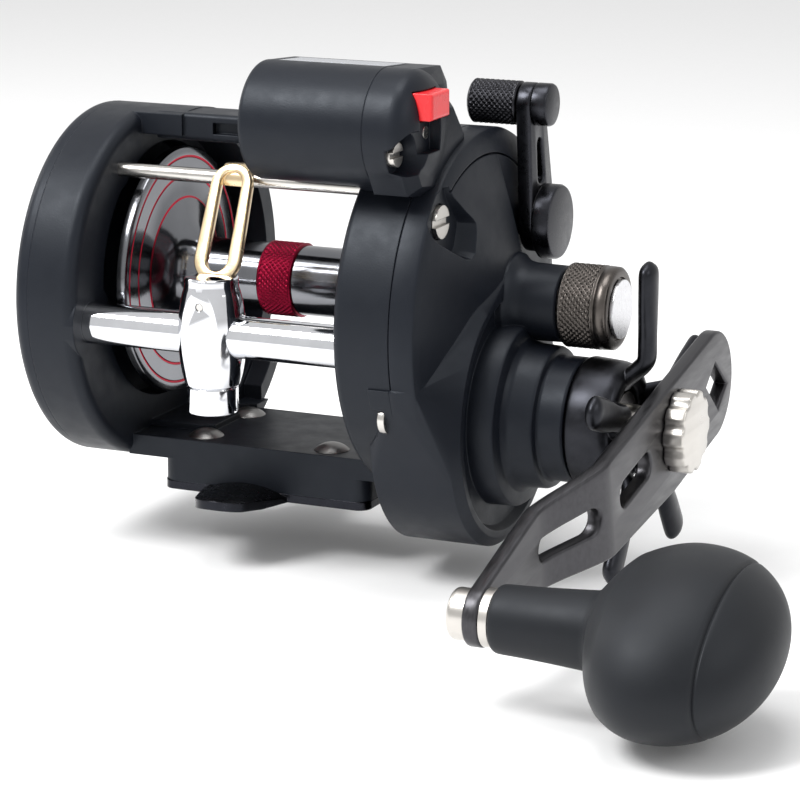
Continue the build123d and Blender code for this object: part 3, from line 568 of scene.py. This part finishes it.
def join_pieces(first, *others):
    """Joins objects into the first one."""
    for other in others:
        work = bmesh.new()
        work.from_mesh(first.data)
        count = len(first.data.materials)
        added = bmesh.new()
        added.from_mesh(other.data)
        for face in added.faces:
            face.material_index += count
        spare = bpy.data.meshes.new("spare")
        added.to_mesh(spare)
        added.free()
        work.from_mesh(spare)
        for material in other.data.materials:
            first.data.materials.append(material)
        work.to_mesh(first.data)
        work.free()
        bpy.data.meshes.remove(spare)
        bpy.data.objects.remove(other)
    return first


def carve(body, operation, tools, sharp=30.0):
    """Joins tools to a body, or cuts them out of it."""
    for tool in tools:
        change = body.modifiers.new("change", "BOOLEAN")
        change.operation = operation
        change.solver = "EXACT"
        change.object = tool
    settle(body, sharp)
    for tool in tools:
        bpy.data.objects.remove(tool)
    return body


def wrap(name, points, material, sharp=30.0):
    """Convex solid round points in millimetres."""
    solid = mesh_object(name, points, [], [material])
    work = bmesh.new()
    work.from_mesh(solid.data)
    result = bmesh.ops.convex_hull(work, input=work.verts)
    inside = {item for item in result["geom_interior"] if isinstance(item, bmesh.types.BMVert)}
    bmesh.ops.delete(work, geom=list(inside), context="VERTS")
    bmesh.ops.dissolve_limit(work, angle_limit=radians(0.2), verts=work.verts, edges=work.edges)
    work.to_mesh(solid.data)
    work.free()
    tidy_mesh(solid.data, sharp)
    return solid


BOX_SIDES = [(0, 1, 3, 2), (4, 6, 7, 5), (0, 4, 5, 1), (2, 3, 7, 6), (0, 2, 6, 4), (1, 5, 7, 3)]


def box_points(x0, x1, y0, y1, z0, z1):
    """Corners of a box, in the order that BOX_SIDES takes them."""
    return [(x, y, z) for x in (x0, x1) for y in (y0, y1) for z in (z0, z1)]


def circle(x, centre, radius, a0=0, a1=360, count=96):
    """Points of a circle or an arc square to X."""
    return [(x, *point) for point in arc(*centre, radius, a0, a1, count)]


def rod_x(x0, x1, radius, axis, count=96):
    """Plain rod along X, to cut with."""
    return lathe("rod", closed([(x0, radius), (x1, radius)]), axis, [COVER], segments=count)


def stand_in(obj, body, node):
    """The piece rides on a body and replaces a CAD node."""
    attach(obj, body)
    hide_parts(node)


# --- spool --------------------------------------------------------------------------------------
def make_spool():
    """Turned spool with red grooves in its flanges, and the knurled red ring round its arbor."""
    outer = extent("spool", 0)[1]
    inner_face, rim = 23.8, 25.0
    outer_face = inner_face + 2.2
    grooves, half_groove = (19.3, 23.0), 0.25
    foot_low, foot_high = 14.6, 15.0
    side = [(15.5, 7.0), (17.0, 7.15), (18.5, 7.6), (20.0, 8.4), (21.4, 9.8), (22.6, 12.0), (23.3, 14.0),
            (23.5, foot_low), (23.65, foot_high)]
    for groove in grooves:
        side += [(inner_face, groove - half_groove), (inner_face + 0.14, groove - 0.12),
                 (inner_face + 0.14, groove + 0.12), (inner_face, groove + half_groove)]
    side += [(inner_face, rim - 0.35), (inner_face + 0.12, rim - 0.1), (inner_face + 0.45, rim),
             (outer_face - 0.35, rim), (outer_face, rim - 0.35), (outer_face, 8.0), (outer, 5.6)]
    profile = [(-outer, 2.5)] + [(-x, r) for x, r in reversed(side)] + [(-3.9, 7.0), (-3.9, 6.2)]
    profile += [(3.7, 6.2), (3.7, 7.0)] + side + [(outer, 2.5), (-outer, 2.5)]
    red = [(foot_low, foot_high)] + [(groove - half_groove, groove + half_groove) for groove in grooves]
    marks = []
    for (_, r0), (_, r1) in zip(profile, profile[1:]):
        marks.append(int(any(low < (r0 + r1) / 2 < high for low, high in red)))
    spool = lathe("spool_turned", profile, SPOOL, [SPOOL_METAL, RING_RED], marks, 160)
    stand_in(spool, "spool", "spool")

    x0, x1 = extent("arbor_ring", 0)
    diamonds = 44
    cut = knurl(x0 + 0.3, x1 - 0.3, 1.15, 0.30, diamonds)
    profile = [(x0, 6.3), (x0, 7.3)] + [(x, 7.5) for x in steps(x0 + 0.2, x1 - 0.2, 0.12)]
    profile += [(x1, 7.3), (x1, 6.3), (x0, 6.3)]
    ring = lathe("arbor_ring_knurled", profile, SPOOL, [KNURL_RED], None, diamonds * 10, cut, sharp=60)
    stand_in(ring, "spool", "arbor_ring")


# --- level wind ---------------------------------------------------------------------------------
def make_worm():
    """Level-wind shaft with crossed grooves."""
    x0, x1 = -33.2, 30.2
    pitch, depth, half_width = 9.0, 0.8, 1.1
    thick, thin = 2.9, 1.6

    def grooves(x, r, a):
        if r < thick or not x0 + 2 < x < x1 - 2:
            return r
        turn = (x - x0) / pitch
        cut = 0.0
        for way in (1, -1):
            off = abs(((a / (2 * pi) * way + turn + 0.5) % 1.0) - 0.5) * pitch
            cut = max(cut, depth * max(0.0, 1.0 - (off / half_width) ** 2))
        return r - cut
    profile = [(-37.8, thin), (x0, thin)] + [(x, thick) for x in steps(x0, x1, 0.35)]
    profile += [(x1, thin), (32.8, thin)]
    worm = lathe("worm_grooved", closed(profile), TUBE, [STEEL], None, 48, grooves, sharp=60)
    stand_in(worm, "worm", "worm_shaft")


def make_carriage():
    """Polished upright block on the tube: waisted at both ends, with a flat oval facet in front."""
    x = CARRIAGE_X
    y, z = TUBE
    face, pin_z = y - 5.3, z + 6.3
    start, height, rows = -9.6, 20.8, 32
    profile = [(z - 9.9, 4.9)]
    for i in range(rows + 1):
        h = start + height * i / rows
        bulge = max(0.0, 1 - (h / 9.4) ** 2)
        profile.append((z + h, 5.25 + 1.35 * bulge ** 0.8))
    profile.append((z + 11.5, 4.95))
    body = turned_z("carriage_block", profile, (x, y), CHROME, 128)
    slab = box_points(x - 20, x + 20, face - 20, face, z - 30, z + 30)
    cutters = [rod_x(x - 12, x + 12, 4.13, TUBE, 64), mesh_object("slab", slab, BOX_SIDES, [CHROME])]
    for at in (x - 9.3, x + 9.3):
        cutters.append(rod_x(at - 3, at + 3, 3.9, (y + 2.0, z + 9.2), 48))
    cutters.append(peg_y("pin_hole", 0.85, 1.6, (x, face, pin_z)))
    carve(body, "DIFFERENCE", cutters, 25)
    edge = body.modifiers.new("edge", "BEVEL")
    edge.width = 0.25 * MM
    edge.segments = 2
    edge.limit_method = "ANGLE"
    edge.angle_limit = radians(25)
    edge.use_clamp_overlap = True
    settle(body, 40)
    pin = peg_y("pin", 0.72, 0.9, (x, face + 0.6, pin_z))
    pin.data.materials.append(STEEL)
    stand_in(join_pieces(body, pin), "carriage", "carriage")

    low = extent("pawl_cap", 2)[0]
    profile = [(low, 3.4), (low, 4.45), (low + 0.2, 4.8), (low + 0.5, 4.95),
               (z - 10.2, 4.95), (z - 9.9, 4.75)]
    cap = turned_z("pawl_cap_turned", profile, (x, y), CHROME)
    slot = box_points(x - 8, x + 8, y - 0.6, y + 0.6, low - 0.9, low + 0.9)
    carve(cap, "DIFFERENCE", [mesh_object("slot", slot, BOX_SIDES, [CHROME])], 30)
    stand_in(cap, "carriage", "pawl_cap")


def make_line_guide():
    """Flat gold loop that leans back over the guide bar and curls round it."""
    x = CARRIAGE_X
    foot = Vector((x, TUBE[0] + 1.6, TUBE[1] + 11.2))
    top = Vector((x, BAR[0] - 2.6, BAR[1] + 1.6))
    up = (top - foot).normalized()
    length = (top - foot).length
    side = Vector((1, 0, 0))
    out = side.cross(up)
    place = Matrix((side, up, out)).transposed().to_4x4()
    place.translation = foot
    outer = slot_outline((0, 3.4), (0, length - 2.7), 4.9, 4.4)[::-1]
    hole = slot_outline((0, 3.0), (0, length - 2.2), 2.25, 2.25)
    loop = plate("line_guide_loop", [outer, hole], 1.6, 0.35, place, GOLD)
    half_width, half_thick = 3.2, 0.6
    curl = BAR_RADIUS + 0.35 + half_thick
    section = ((-1, -1), (-0.9, 1), (0, 1.15), (0.9, 1), (1, -1), (0, -1))
    rings = []
    for angle in range(-20, 140, 8):
        c, sn = cos(radians(angle)), sin(radians(angle))
        spot = Vector((x, BAR[0] - curl * c, BAR[1] + curl * sn))
        away = Vector((0, -c, sn))
        rings.append([spot + side * half_width * u + away * half_thick * v for u, v in section])
    points, faces = [], []
    loft(rings, points, faces)
    hook = mesh_object("hook", points, faces, [GOLD], sharp=60)
    stand_in(join_pieces(loop, hook), "carriage", "line_guide")


# --- counter end cap ----------------------------------------------------------------------------
def make_end_cap():
    """Bullet-shaped end of the counter with a web down to the plate, a button slot and a screw pocket."""
    x0, x1 = extent("counter_end_cap", 0)
    y, z = COUNTER
    screw = middle("counter_screw")
    bullet = [(x0, 11.25), (38.6, 11.25), (39.6, 11.15), (40.5, 10.75), (41.4, 10.0), (42.3, 8.8),
              (43.0, 7.1), (43.5, 4.8), (x1 - 0.05, 2.4)]
    cap = lathe("counter_end_cap_moulding", closed(bullet), COUNTER, [COVER], None, 160)
    back = [(y, z + 11.2), (-15.5, z + 10.4), (-12.5, z + 7.0), (-12.5, z - 6.0), (-18.0, z - 6.0),
            (y, z - 8.0)]
    wall = [(x, *point) for x in (x0, 39.5) for point in back]
    wall += [(41.6, *point) for point in drawn_in(back, COUNTER, 0.72)]
    web = [(-36.2, 72.0), (-33.0, 67.0), (-26.0, 66.0), (-8.0, 70.0), (-8.0, 75.6), (-14.6, 83.0),
           (-30.0, 84.0)]
    neck = [(x, *point) for x in (x0, 40.5) for point in web]
    neck += [(42.6, *point) for point in drawn_in(web, (-24, 76), 0.8)]
    flesh = [wrap("wall", wall, COVER), wrap("neck", neck, COVER)]
    carve(cap, "UNION", flesh)
    y0, y1 = extent("reset_button", 1)
    z0, z1 = extent("reset_button", 2)
    slot = box_points(x1 - 4.2, x1 + 3, y0 - 0.15, y1 + 0.15, z0 - 1.0, z1 + 0.2)
    slope = [(x, v, w) for v in (y0 - 0.16, y1 + 0.16)
             for x, w in ((x1 - 2.5, z0), (x1 - 2.5, z0 - 6.6), (x1 + 3, z0 - 6.6), (x1 + 3, z0))]
    pocket = lathe("pocket", closed([(38.2, 3.5), (40.0, 3.8), (46.0, 5.4)]), screw, [COVER], None, 64)
    rim = rod_x(x0 - 1, 43.2, PLATE_RADIUS + 0.05, PLATE, 192)
    carve(cap, "DIFFERENCE", [wrap("slot", slot, COVER), wrap("slope", slope, COVER), pocket, rim])
    stand_in(cap, "frame", "counter_end_cap")


# --- right side cover ---------------------------------------------------------------------------
def gear_housing():
    """Lobe over the gears: a proud foot, a shoulder, and a skirt that laps over the frame's plate."""
    lobe = circle(SEAM, PLATE, PROUD_RADIUS, 195, 345) + circle(40.2, PLATE, PROUD_RADIUS, 195, 345)
    lobe += circle(43.6, PLATE, 35.4, 195, 197, 4)
    lobe += circle(LOBE_START, DRIVE, 26.4) + circle(46.0, (DRIVE[0], DRIVE[1] + 1.9), 26.0, -20, 200)
    lobe += circle(48.4, DRIVE, 26.4) + circle(49.9, DRIVE, 24.6) + circle(49.4, SPOOL, 8.2)
    front = wrap("lobe", lobe, COVER)
    return carve(front, "DIFFERENCE", [rod_x(LOBE_START - 1, SEAM, 35.7, PLATE, 192)])


def lever_well():
    """Cutter for the sunk field that the clutch lever swings in."""
    well = []
    for away, radius in (((0.0, 0.0), 10.9), ((-5.0, 34.0), 14.0), ((30.0, 6.0), 18.0)):
        at = (LEVER[0] + away[0], LEVER[1] + away[1])
        well += circle(45.35, at, radius) + circle(80, at, radius)
    return wrap("well", well, COVER)


def leaf_pocket(screw):
    """Cutter for the leaf-shaped pocket round the cover's front screw."""
    leaf = [(-2.8, 5.1), (-4.7, 3.1), (-5.9, 0.9), (-6.0, -0.8), (-5.2, -2.2), (-3.7, -3.3), (1.1, -5.7),
            (4.6, -7.2), (6.4, -7.4), (7.7, -6.6), (9.2, -3.0), (9.4, -1.7), (8.8, -0.8), (6.3, 1.3),
            (3.4, 4.3), (2.6, 6.4), (0.8, 6.6), (-0.6, 5.9)]
    points = []
    for x, grow in ((43.55, 0.93), (44.6, 1.0), (48.0, 1.12)):
        points += [(x, screw[0] + u * grow, screw[1] + v * grow) for u, v in leaf]
    count = len(leaf)
    return mesh_object("pocket", points, end_faces(3, count) + ring_faces(3, count), [COVER])


def arch_line():
    """Cutter for the thin arched line in the dome."""
    rings = []
    for angle in range(28, 126, 2):
        c, sn = cos(radians(angle)), sin(radians(angle))
        rings.append([Vector((x, SPOOL[0] - 6.5 + r * c, SPOOL[1] - 1.0 + r * sn))
                      for x, r in ((44.3, 30.0), (44.3, 30.35), (48.0, 30.5), (48.0, 29.9))])
    points, faces = [], []
    loft(rings, points, faces)
    return mesh_object("line", points, faces, [COVER])


def make_right_cover():
    """Domed plate with a leaf-shaped pocket, gear housing with a shoulder, boss and drag cup."""
    screw = middle("front_cover_screw")
    dome = [(SEAM, 35.3), (SEAM + 0.25, PLATE_RADIUS), (43.3, PLATE_RADIUS), (43.85, 35.35), (44.15, 34.9),
            (44.7, 33.2), (45.6, 29.5), (46.9, 23.0), (48.3, 15.5), (49.6, 7.0)]
    cover = lathe("right_side_cover_moulding", closed(dome), PLATE, [COVER], None, 256)
    cup = [(45.0, 18.2), (53.0, 18.0), (53.5, 17.7), (53.7, 17.1), (53.9, 15.2), (54.5, 14.4), (55.2, 14.1),
           (59.2, 13.9), (59.8, 13.6), (60.05, 13.0), (60.1, 12.5), (60.5, 12.25), (65.0, 12.2), (65.4, 11.9)]
    boss = [(44.0, 9.4), (49.6, 9.2), (50.2, 8.6), (51.2, 7.9), (53.0, 7.55), (59.5, 7.45), (59.9, 7.1)]
    moat = [(50.4, 23.6), (48.3, 22.2), (48.2, 18.6), (48.6, 17.0), (50.4, 17.0), (50.4, 23.6)]
    carve(cover, "DIFFERENCE", [lever_well()])
    carve(cover, "UNION", [gear_housing()])
    carve(cover, "DIFFERENCE", [lathe("moat", moat, DRIVE, [COVER], None, 160)])
    carve(cover, "UNION", [lathe("cup", closed(cup), DRIVE, [COVER], None, 160),
                           lathe("boss", closed(boss), SPOOL, [COVER], None, 128)])
    carve(cover, "DIFFERENCE", [leaf_pocket(screw), arch_line(), rod_x(42.9, 60, 3.45, screw, 64)])
    hollows = [(SEAM - 1, 42.2, 33.2, PLATE), (LOBE_START - 1, 47.2, 23.6, DRIVE), (47.0, 58.6, 9.0, DRIVE),
               (58.0, 70.0, 5.0, DRIVE), (44.0, 50.2, 7.0, SPOOL), (50.0, 62.0, 5.0, SPOOL)]
    for x0, x1, radius, axis in hollows:
        carve(cover, "DIFFERENCE", [rod_x(x0, x1, radius, axis)])
    stand_in(cover, "frame", "right_side_cover")


def make_frame_ear():
    """Ear of the frame below the cover's front edge, with its screw in a nest."""
    pad = []
    for radius, count in ((PROUD_RADIUS, 48), (34.6, 8)):
        for x in (34.4, SEAM - 0.12):
            pad += circle(x, PLATE, radius, 195, 262, count)
    ear = wrap("frame_ear", pad, BODY)
    nest_radius, nest_angle = 34.2, radians(27)
    nest = (PLATE[0] - nest_radius * cos(nest_angle), PLATE[1] - nest_radius * sin(nest_angle))
    carve(ear, "DIFFERENCE", [rod_x(33.0, 37.0, 3.6, nest, 48)])
    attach(ear, "frame")
    profile = [(35.2, 1.6), (35.4, 2.4), (35.8, 2.9), (36.6, 3.0), (37.1, 2.9)]
    bolt = lathe("frame_ear_screw", closed(profile), nest, [STEEL], None, 48)
    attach(bolt, "frame")


# --- controls -----------------------------------------------------------------------------------
def make_spool_tension():
    """Cast control: a knurled grip with a groove before its lip, on a stem."""
    x0, x1 = 60.3, extent("spool_tension_knob", 0)[1]
    knurl_end, diamonds = x0 + 7.0, 40
    cut = knurl(x0 + 0.5, knurl_end, 1.15, 0.34, diamonds)
    profile = [(x0, 7.6), (x0 + 0.3, 8.1)] + [(x, 8.2) for x in steps(x0 + 0.5, knurl_end, 0.11)]
    profile += [(knurl_end + 0.3, 7.9), (knurl_end + 0.55, 7.9), (knurl_end + 0.8, 8.15), (x1 - 0.5, 8.05),
                (x1 - 0.15, 7.7), (x1, 7.2), (x1, 6.2), (x1 - 0.5, 5.95), (x1 - 0.5, 0.5)]
    knob = lathe("spool_tension_grip", closed(profile), SPOOL, [KNURL_BRONZE], None, diamonds * 12, cut,
                 sharp=50)
    stem = lathe("stem", closed([(58.0, 4.0), (x0 + 0.2, 4.0)]), SPOOL, [STEEL], None, 32)
    stand_in(join_pieces(knob, stem), "spool_tension_knob", "spool_tension_knob")


def make_lever():
    """Clutch lever: flat arm with a slot, a hub cap, and a knurled grip with its own cap."""
    x0, x1 = 46.4, 49.4
    direction = (LEVER_TOP[0] - LEVER[0], LEVER_TOP[1] - LEVER[1])
    reach = hypot(*direction)
    outline = arc(0, 0, 6.2, 75, 285) + arc(reach, 0, 4.2, -80, 80)
    hole = slot_outline((reach * 0.40, 0), (reach * 0.66, 0), 1.7, 1.25)
    place = face_plane((x0 + x1) / 2, LEVER, direction)
    arm = plate("clutch_arm", [outline, hole], x1 - x0, 0.45, place, BLACK_METAL)
    cap = lathe("cap", closed([(x1, 6.0), (x1, 7.0), (x1 + 0.3, 7.4), (52.4, 7.4), (52.9, 7.1), (53.0, 6.7)]),
                LEVER, [BLACK_METAL], None, 96)
    post = lathe("post", closed([(40.0, 3.0), (x0 + 0.5, 3.0)]), LEVER, [BLACK_METAL], None, 48)
    stand_in(join_pieces(arm, cap, post), "clutch_lever", "clutch_lever")

    g0, g1 = extent("lever_grip", 0)
    diamonds = 24
    cut = knurl(g0 + 0.7, g1 - 0.6, 1.1, 0.30, diamonds)
    profile = [(g0, 3.3), (g0 + 0.35, 4.0), (g0 + 0.7, 4.35)]
    profile += [(x, 4.35) for x in steps(g0 + 0.8, g1 - 0.6, 0.11)] + [(g1 - 0.4, 4.2), (g1, 3.4)]
    grip = lathe("lever_grip_knurled", closed(profile), LEVER_TOP, [KNURL_BLACK], None, diamonds * 12, cut,
                 sharp=50)
    stand_in(grip, "clutch_lever", "lever_grip")
    s0, s1 = extent("lever_grip_screw", 0)
    profile = [(s0, 4.0), (s0 + 0.2, 4.2), (s1 - 0.5, 4.2), (s1 - 0.12, 4.0), (s1, 3.7)]
    screw = lathe("lever_cap", closed(profile), LEVER_TOP, [BLACK_METAL], None, 64)
    stand_in(screw, "clutch_lever", "lever_grip_screw")


def make_star():
    """Star drag: five rounded arms that rise from a turned hub."""
    hub = [(65.8, 5.0), (65.8, 11.9), (66.1, 12.4), (66.8, 12.6), (72.5, 12.2), (74.0, 11.8), (74.7, 11.1),
           (75.0, 10.0), (74.9, 8.6), (74.2, 7.6), (72.2, 7.0), (71.4, 5.0), (65.8, 5.0)]
    star = lathe("star_hub", hub, DRIVE, [STAR_BLACK], None, 128)
    root, length, rows = 7.2, 25.1, 26
    points, faces = [], []
    for n in range(5):
        angle = radians(18 + 72 * n)
        out = Vector((0, cos(angle), sin(angle)))
        path, radii = [], []
        for i in range(rows + 1):
            t = i / rows
            reach = root + length * t
            bend = min(1.0, max(0.0, (reach - root) / 6.3))
            rise = 72.8 + 5.2 * bend * bend * (3 - 2 * bend)
            end = sqrt(max(0.0, 1 - max(0.0, (t - 0.9) / 0.1) ** 2))
            width = 3.3 - 0.75 * exp(-((reach - 17.0) / 5.0) ** 2) + 0.6 * max(0.0, 0.25 - t) / 0.25
            path.append(Vector((rise, DRIVE[0], DRIVE[1])) + out * reach)
            radii.append((max(width * end, 0.3), max(1.75 * end, 0.3)))
        loft(finger(path, radii, Vector((1, 0, 0))), points, faces)
    arms = mesh_object("star_arms", points, faces, [STAR_BLACK], sharp=70)
    smooth = arms.modifiers.new("smooth", "SUBSURF")
    smooth.levels = 1
    settle(arms, 70)
    stand_in(join_pieces(star, arms), "star_drag", "star_drag")


# --- handle -------------------------------------------------------------------------------------
def make_handle_arm():
    """Cranked arm: wide round end with a diamond hole, two slots, and a step down to the knob."""
    direction = (KNOB[0] - DRIVE[0], KNOB[1] - DRIVE[1])
    length = hypot(*direction)
    face, thickness, step = 81.0, 3.0, 6.6
    bend_1, bend_2 = 35.6, 53.4

    end = (-23.5, 1.3, 10.9)
    waist = [(2, 1.3, 10.9), (34, 0.0, 9.6), (56, 0.0, 7.6)]
    outline = arc(*end, 85, 275, 40)
    outline += [(u, v - r) for u, v, r in waist] + arc(length, 0, 5.4, -84, 84, 24)
    outline += [(u, v + r) for u, v, r in reversed(waist)]
    diamond = [(-24.6, -3.4), (-30.6, 3.9), (-24.9, 6.8), (-18.9, -0.5)]
    loops = [outline, diamond]
    loops.append(slot_outline((16.5, 0), (28.0, 0), 2.6, 2.6))
    loops.append(slot_outline((41.0, 0), (52.5, 0), 2.6, 2.2))

    def bend(p):
        t = min(1.0, max(0.0, (p.x - bend_1) / (bend_2 - bend_1)))
        ease = t * t * (3 - 2 * t) * 0.35 + t * 0.65
        return Vector((p.x, p.y, p.z - step * ease))
    cuts = [bend_1 - 1 + (bend_2 - bend_1 + 2) * i / 14 for i in range(15)]
    place = face_plane(face + thickness / 2, DRIVE, direction)
    arm = plate("handle_arm_plate", loops, thickness, 0.55, place, ARM_GREY, cuts, bend)
    stand_in(arm, "handle", "handle_arm")


def make_handle_nut():
    """Round nut with scallops in its edge."""
    scallops, radius, depth = 10, 8.0, 0.75
    count = scallops * 18
    outline = []
    for i in range(count):
        a = 2 * pi * i / count
        edge = radius - depth * max(0.0, -cos(a * scallops)) ** 0.7
        outline.append((edge * cos(a), edge * sin(a)))
    x0, x1 = extent("handle_nut", 0)
    nut = plate("handle_nut_scalloped", [outline], x1 - x0, 0.5, face_plane((x0 + x1) / 2, DRIVE), NICKEL)
    stand_in(nut, "handle", "handle_nut")


def make_knob():
    """Egg-shaped grip lying across its spindle, with a flared neck and an oval seam on the end."""
    x0, x1 = extent("handle_knob", 0)
    fattest, half_y, half_z = 111.7, 23.2, 13.7
    front, back = x1 - 0.1 - fattest, 14.2
    seam = fattest + 0.5 * front
    lean = radians(15.5)
    bulge, blend = 2.1, 3.0
    points = []
    count = 96
    xs = [x0] + [x0 + 0.15 + 0.1 * i for i in range(4)] + steps(x0 + 0.8, fattest - back + 1, 0.8)
    xs += [fattest - back * cos(radians(a)) for a in range(26, 90, 2)]
    xs += [fattest + front * sin(radians(a)) for a in range(0, 90, 2)] + [fattest + front - 0.01]
    xs += [seam + d for d in (-0.4, -0.2, 0.0, 0.2, 0.4)]
    xs = sorted(xs)
    for x in xs:
        share = (x - fattest) / (front if x > fattest else back)
        swell = max(0.0, 1 - abs(share) ** bulge) ** (1 / bulge)
        neck = (x - x0) / (fattest - x0)
        stem = 6.05 + 2.4 * max(0.0, neck) ** 1.5 - 0.45 * exp(-(x - x0) / 0.35) if x < fattest else 8.45
        stem *= min(1.0, max(0.0, (fattest - x) / 9.0))
        dent = 0.5 * exp(-((x - seam) / 0.3) ** 2)
        wide = ((half_y * swell) ** blend + stem ** blend) ** (1 / blend) - dent
        high = ((half_z * swell) ** blend + stem ** blend) ** (1 / blend) - dent
        for i in range(count):
            a = 2 * pi * i / count
            u, v = wide * cos(a), high * sin(a)
            across, upward = u * cos(lean) - v * sin(lean), u * sin(lean) + v * cos(lean)
            points.append((x, KNOB[0] + across, KNOB[1] + upward))
    faces = ring_faces(len(xs), count) + end_faces(len(xs), count)
    knob = mesh_object("handle_knob_grip", points, faces, [RUBBER], sharp=50)
    stand_in(knob, "handle_knob", "handle_knob")


# --- counter wheels -----------------------------------------------------------------------------
def digit_piece(digit, x, axis, radius):
    """Raised digit on a wheel at its place round the axis."""
    text = bpy.data.curves.new("digit", "FONT")
    text.body = str(digit)
    text.size = 4.6
    text.extrude = 0.06
    text.align_x = "CENTER"
    text.align_y = "CENTER"
    text.resolution_u = 3
    glyph = add_object("digit", text)
    mesh = applied_mesh(glyph)
    bpy.data.objects.remove(glyph)
    angle = radians(95 - 36 * digit)
    out = Vector((0, cos(angle), sin(angle)))
    along = Vector((1, 0, 0))
    place = Matrix((along, out.cross(along), out)).transposed().to_4x4()
    place.translation = Vector((x, *axis)) + out * radius
    mesh.transform(Matrix.Scale(MM, 4) @ place)
    mesh.materials.clear()
    mesh.materials.append(BODY)
    return add_object("digit", mesh)


def make_counter_wheels():
    """Three white drums with the digits 0 to 9 round each."""
    axis = joint_axis("ones_wheel_spin")
    hole, edge, drum = 1.4, 7.7, 7.98
    for name in ("counter_wheel_ones", "counter_wheel_tens", "counter_wheel_hundreds"):
        x0, x1 = extent(name, 0)
        profile = [(x0, hole), (x0, edge), (x0 + 0.3, drum), (x1 - 0.3, drum), (x1, edge), (x1, hole),
                   (x0, hole)]
        wheel = lathe(name + "_drum", profile, axis, [WHEEL_WHITE], None, 80)
        digits = [digit_piece(digit, (x0 + x1) / 2, axis, drum - 0.02) for digit in range(10)]
        stand_in(join_pieces(wheel, *digits), name, name)


make_spool()
make_worm()
make_carriage()
make_line_guide()
make_spool_tension()
make_lever()
make_star()
make_right_cover()
make_frame_ear()
make_end_cap()
make_handle_arm()
make_handle_nut()
make_knob()
make_counter_wheels()


# --- stage, light and camera --------------------------------------------------------------------
def make_floor():
    """Large white floor just below the reel."""
    gap, reach = 2.0, 4000.0
    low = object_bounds()[0][2] / MM - gap
    points = [(-reach, -reach, low), (reach, -reach, low), (reach, reach, low), (-reach, reach, low)]
    floor = mesh_object("floor", points, [(0, 1, 2, 3)], [FLOOR])


def look_from(obj, target, azimuth, elevation, distance):
    """Puts an object at a distance from a target and turns it that way, in degrees and millimetres."""
    azimuth, elevation = radians(azimuth), radians(elevation)
    away = Vector((sin(azimuth) * cos(elevation), -cos(azimuth) * cos(elevation), sin(elevation)))
    target = Vector(target) * MM
    obj.location = target + away * distance * MM
    obj.rotation_euler = (target - obj.location).to_track_quat("-Z", "Y").to_euler()


def area_light(name, azimuth, elevation, distance, width, height, power):
    """Rectangular lamp that shines at the middle of the reel."""
    data = bpy.data.lights.new(name, "AREA")
    data.shape = "RECTANGLE"
    data.size = width * MM
    data.size_y = height * MM
    data.energy = power
    look_from(add_object(name, data), (20, 0, 30), azimuth, elevation, distance)


def make_light():
    """Bright even surroundings, a key lamp from the left and three weaker ones."""
    world = bpy.data.worlds.new("studio")
    world.use_nodes = True
    background = world.node_tree.nodes["Background"]
    background.inputs["Color"].default_value = (1.0, 1.0, 1.0, 1.0)
    background.inputs["Strength"].default_value = 0.74
    bpy.context.scene.world = world
    area_light("key", -34, 50, 700, 280, 280, 4.3)
    area_light("rim", -95, 25, 700, 160, 400, 0.8)
    area_light("right_fill", 80, 30, 700, 240, 240, 0.5)
    area_light("top", 30, 88, 600, 300, 300, 1.4)


def make_camera():
    """Long lens from the front, a little to the right and above, as the photo was taken."""
    data = bpy.data.cameras.new("camera")
    data.sensor_width = 36.0
    data.lens = 144.82
    data.clip_start = 0.01
    data.clip_end = 20.0
    camera = add_object("camera", data)
    target = (24.32, 0.0, -22.63 + SPOOL[1])
    look_from(camera, target, azimuth=23.945, elevation=13.854, distance=641.36)
    bpy.context.scene.camera = camera


make_floor()
make_light()
make_camera()
bpy.context.scene.view_settings.view_transform = "Standard"
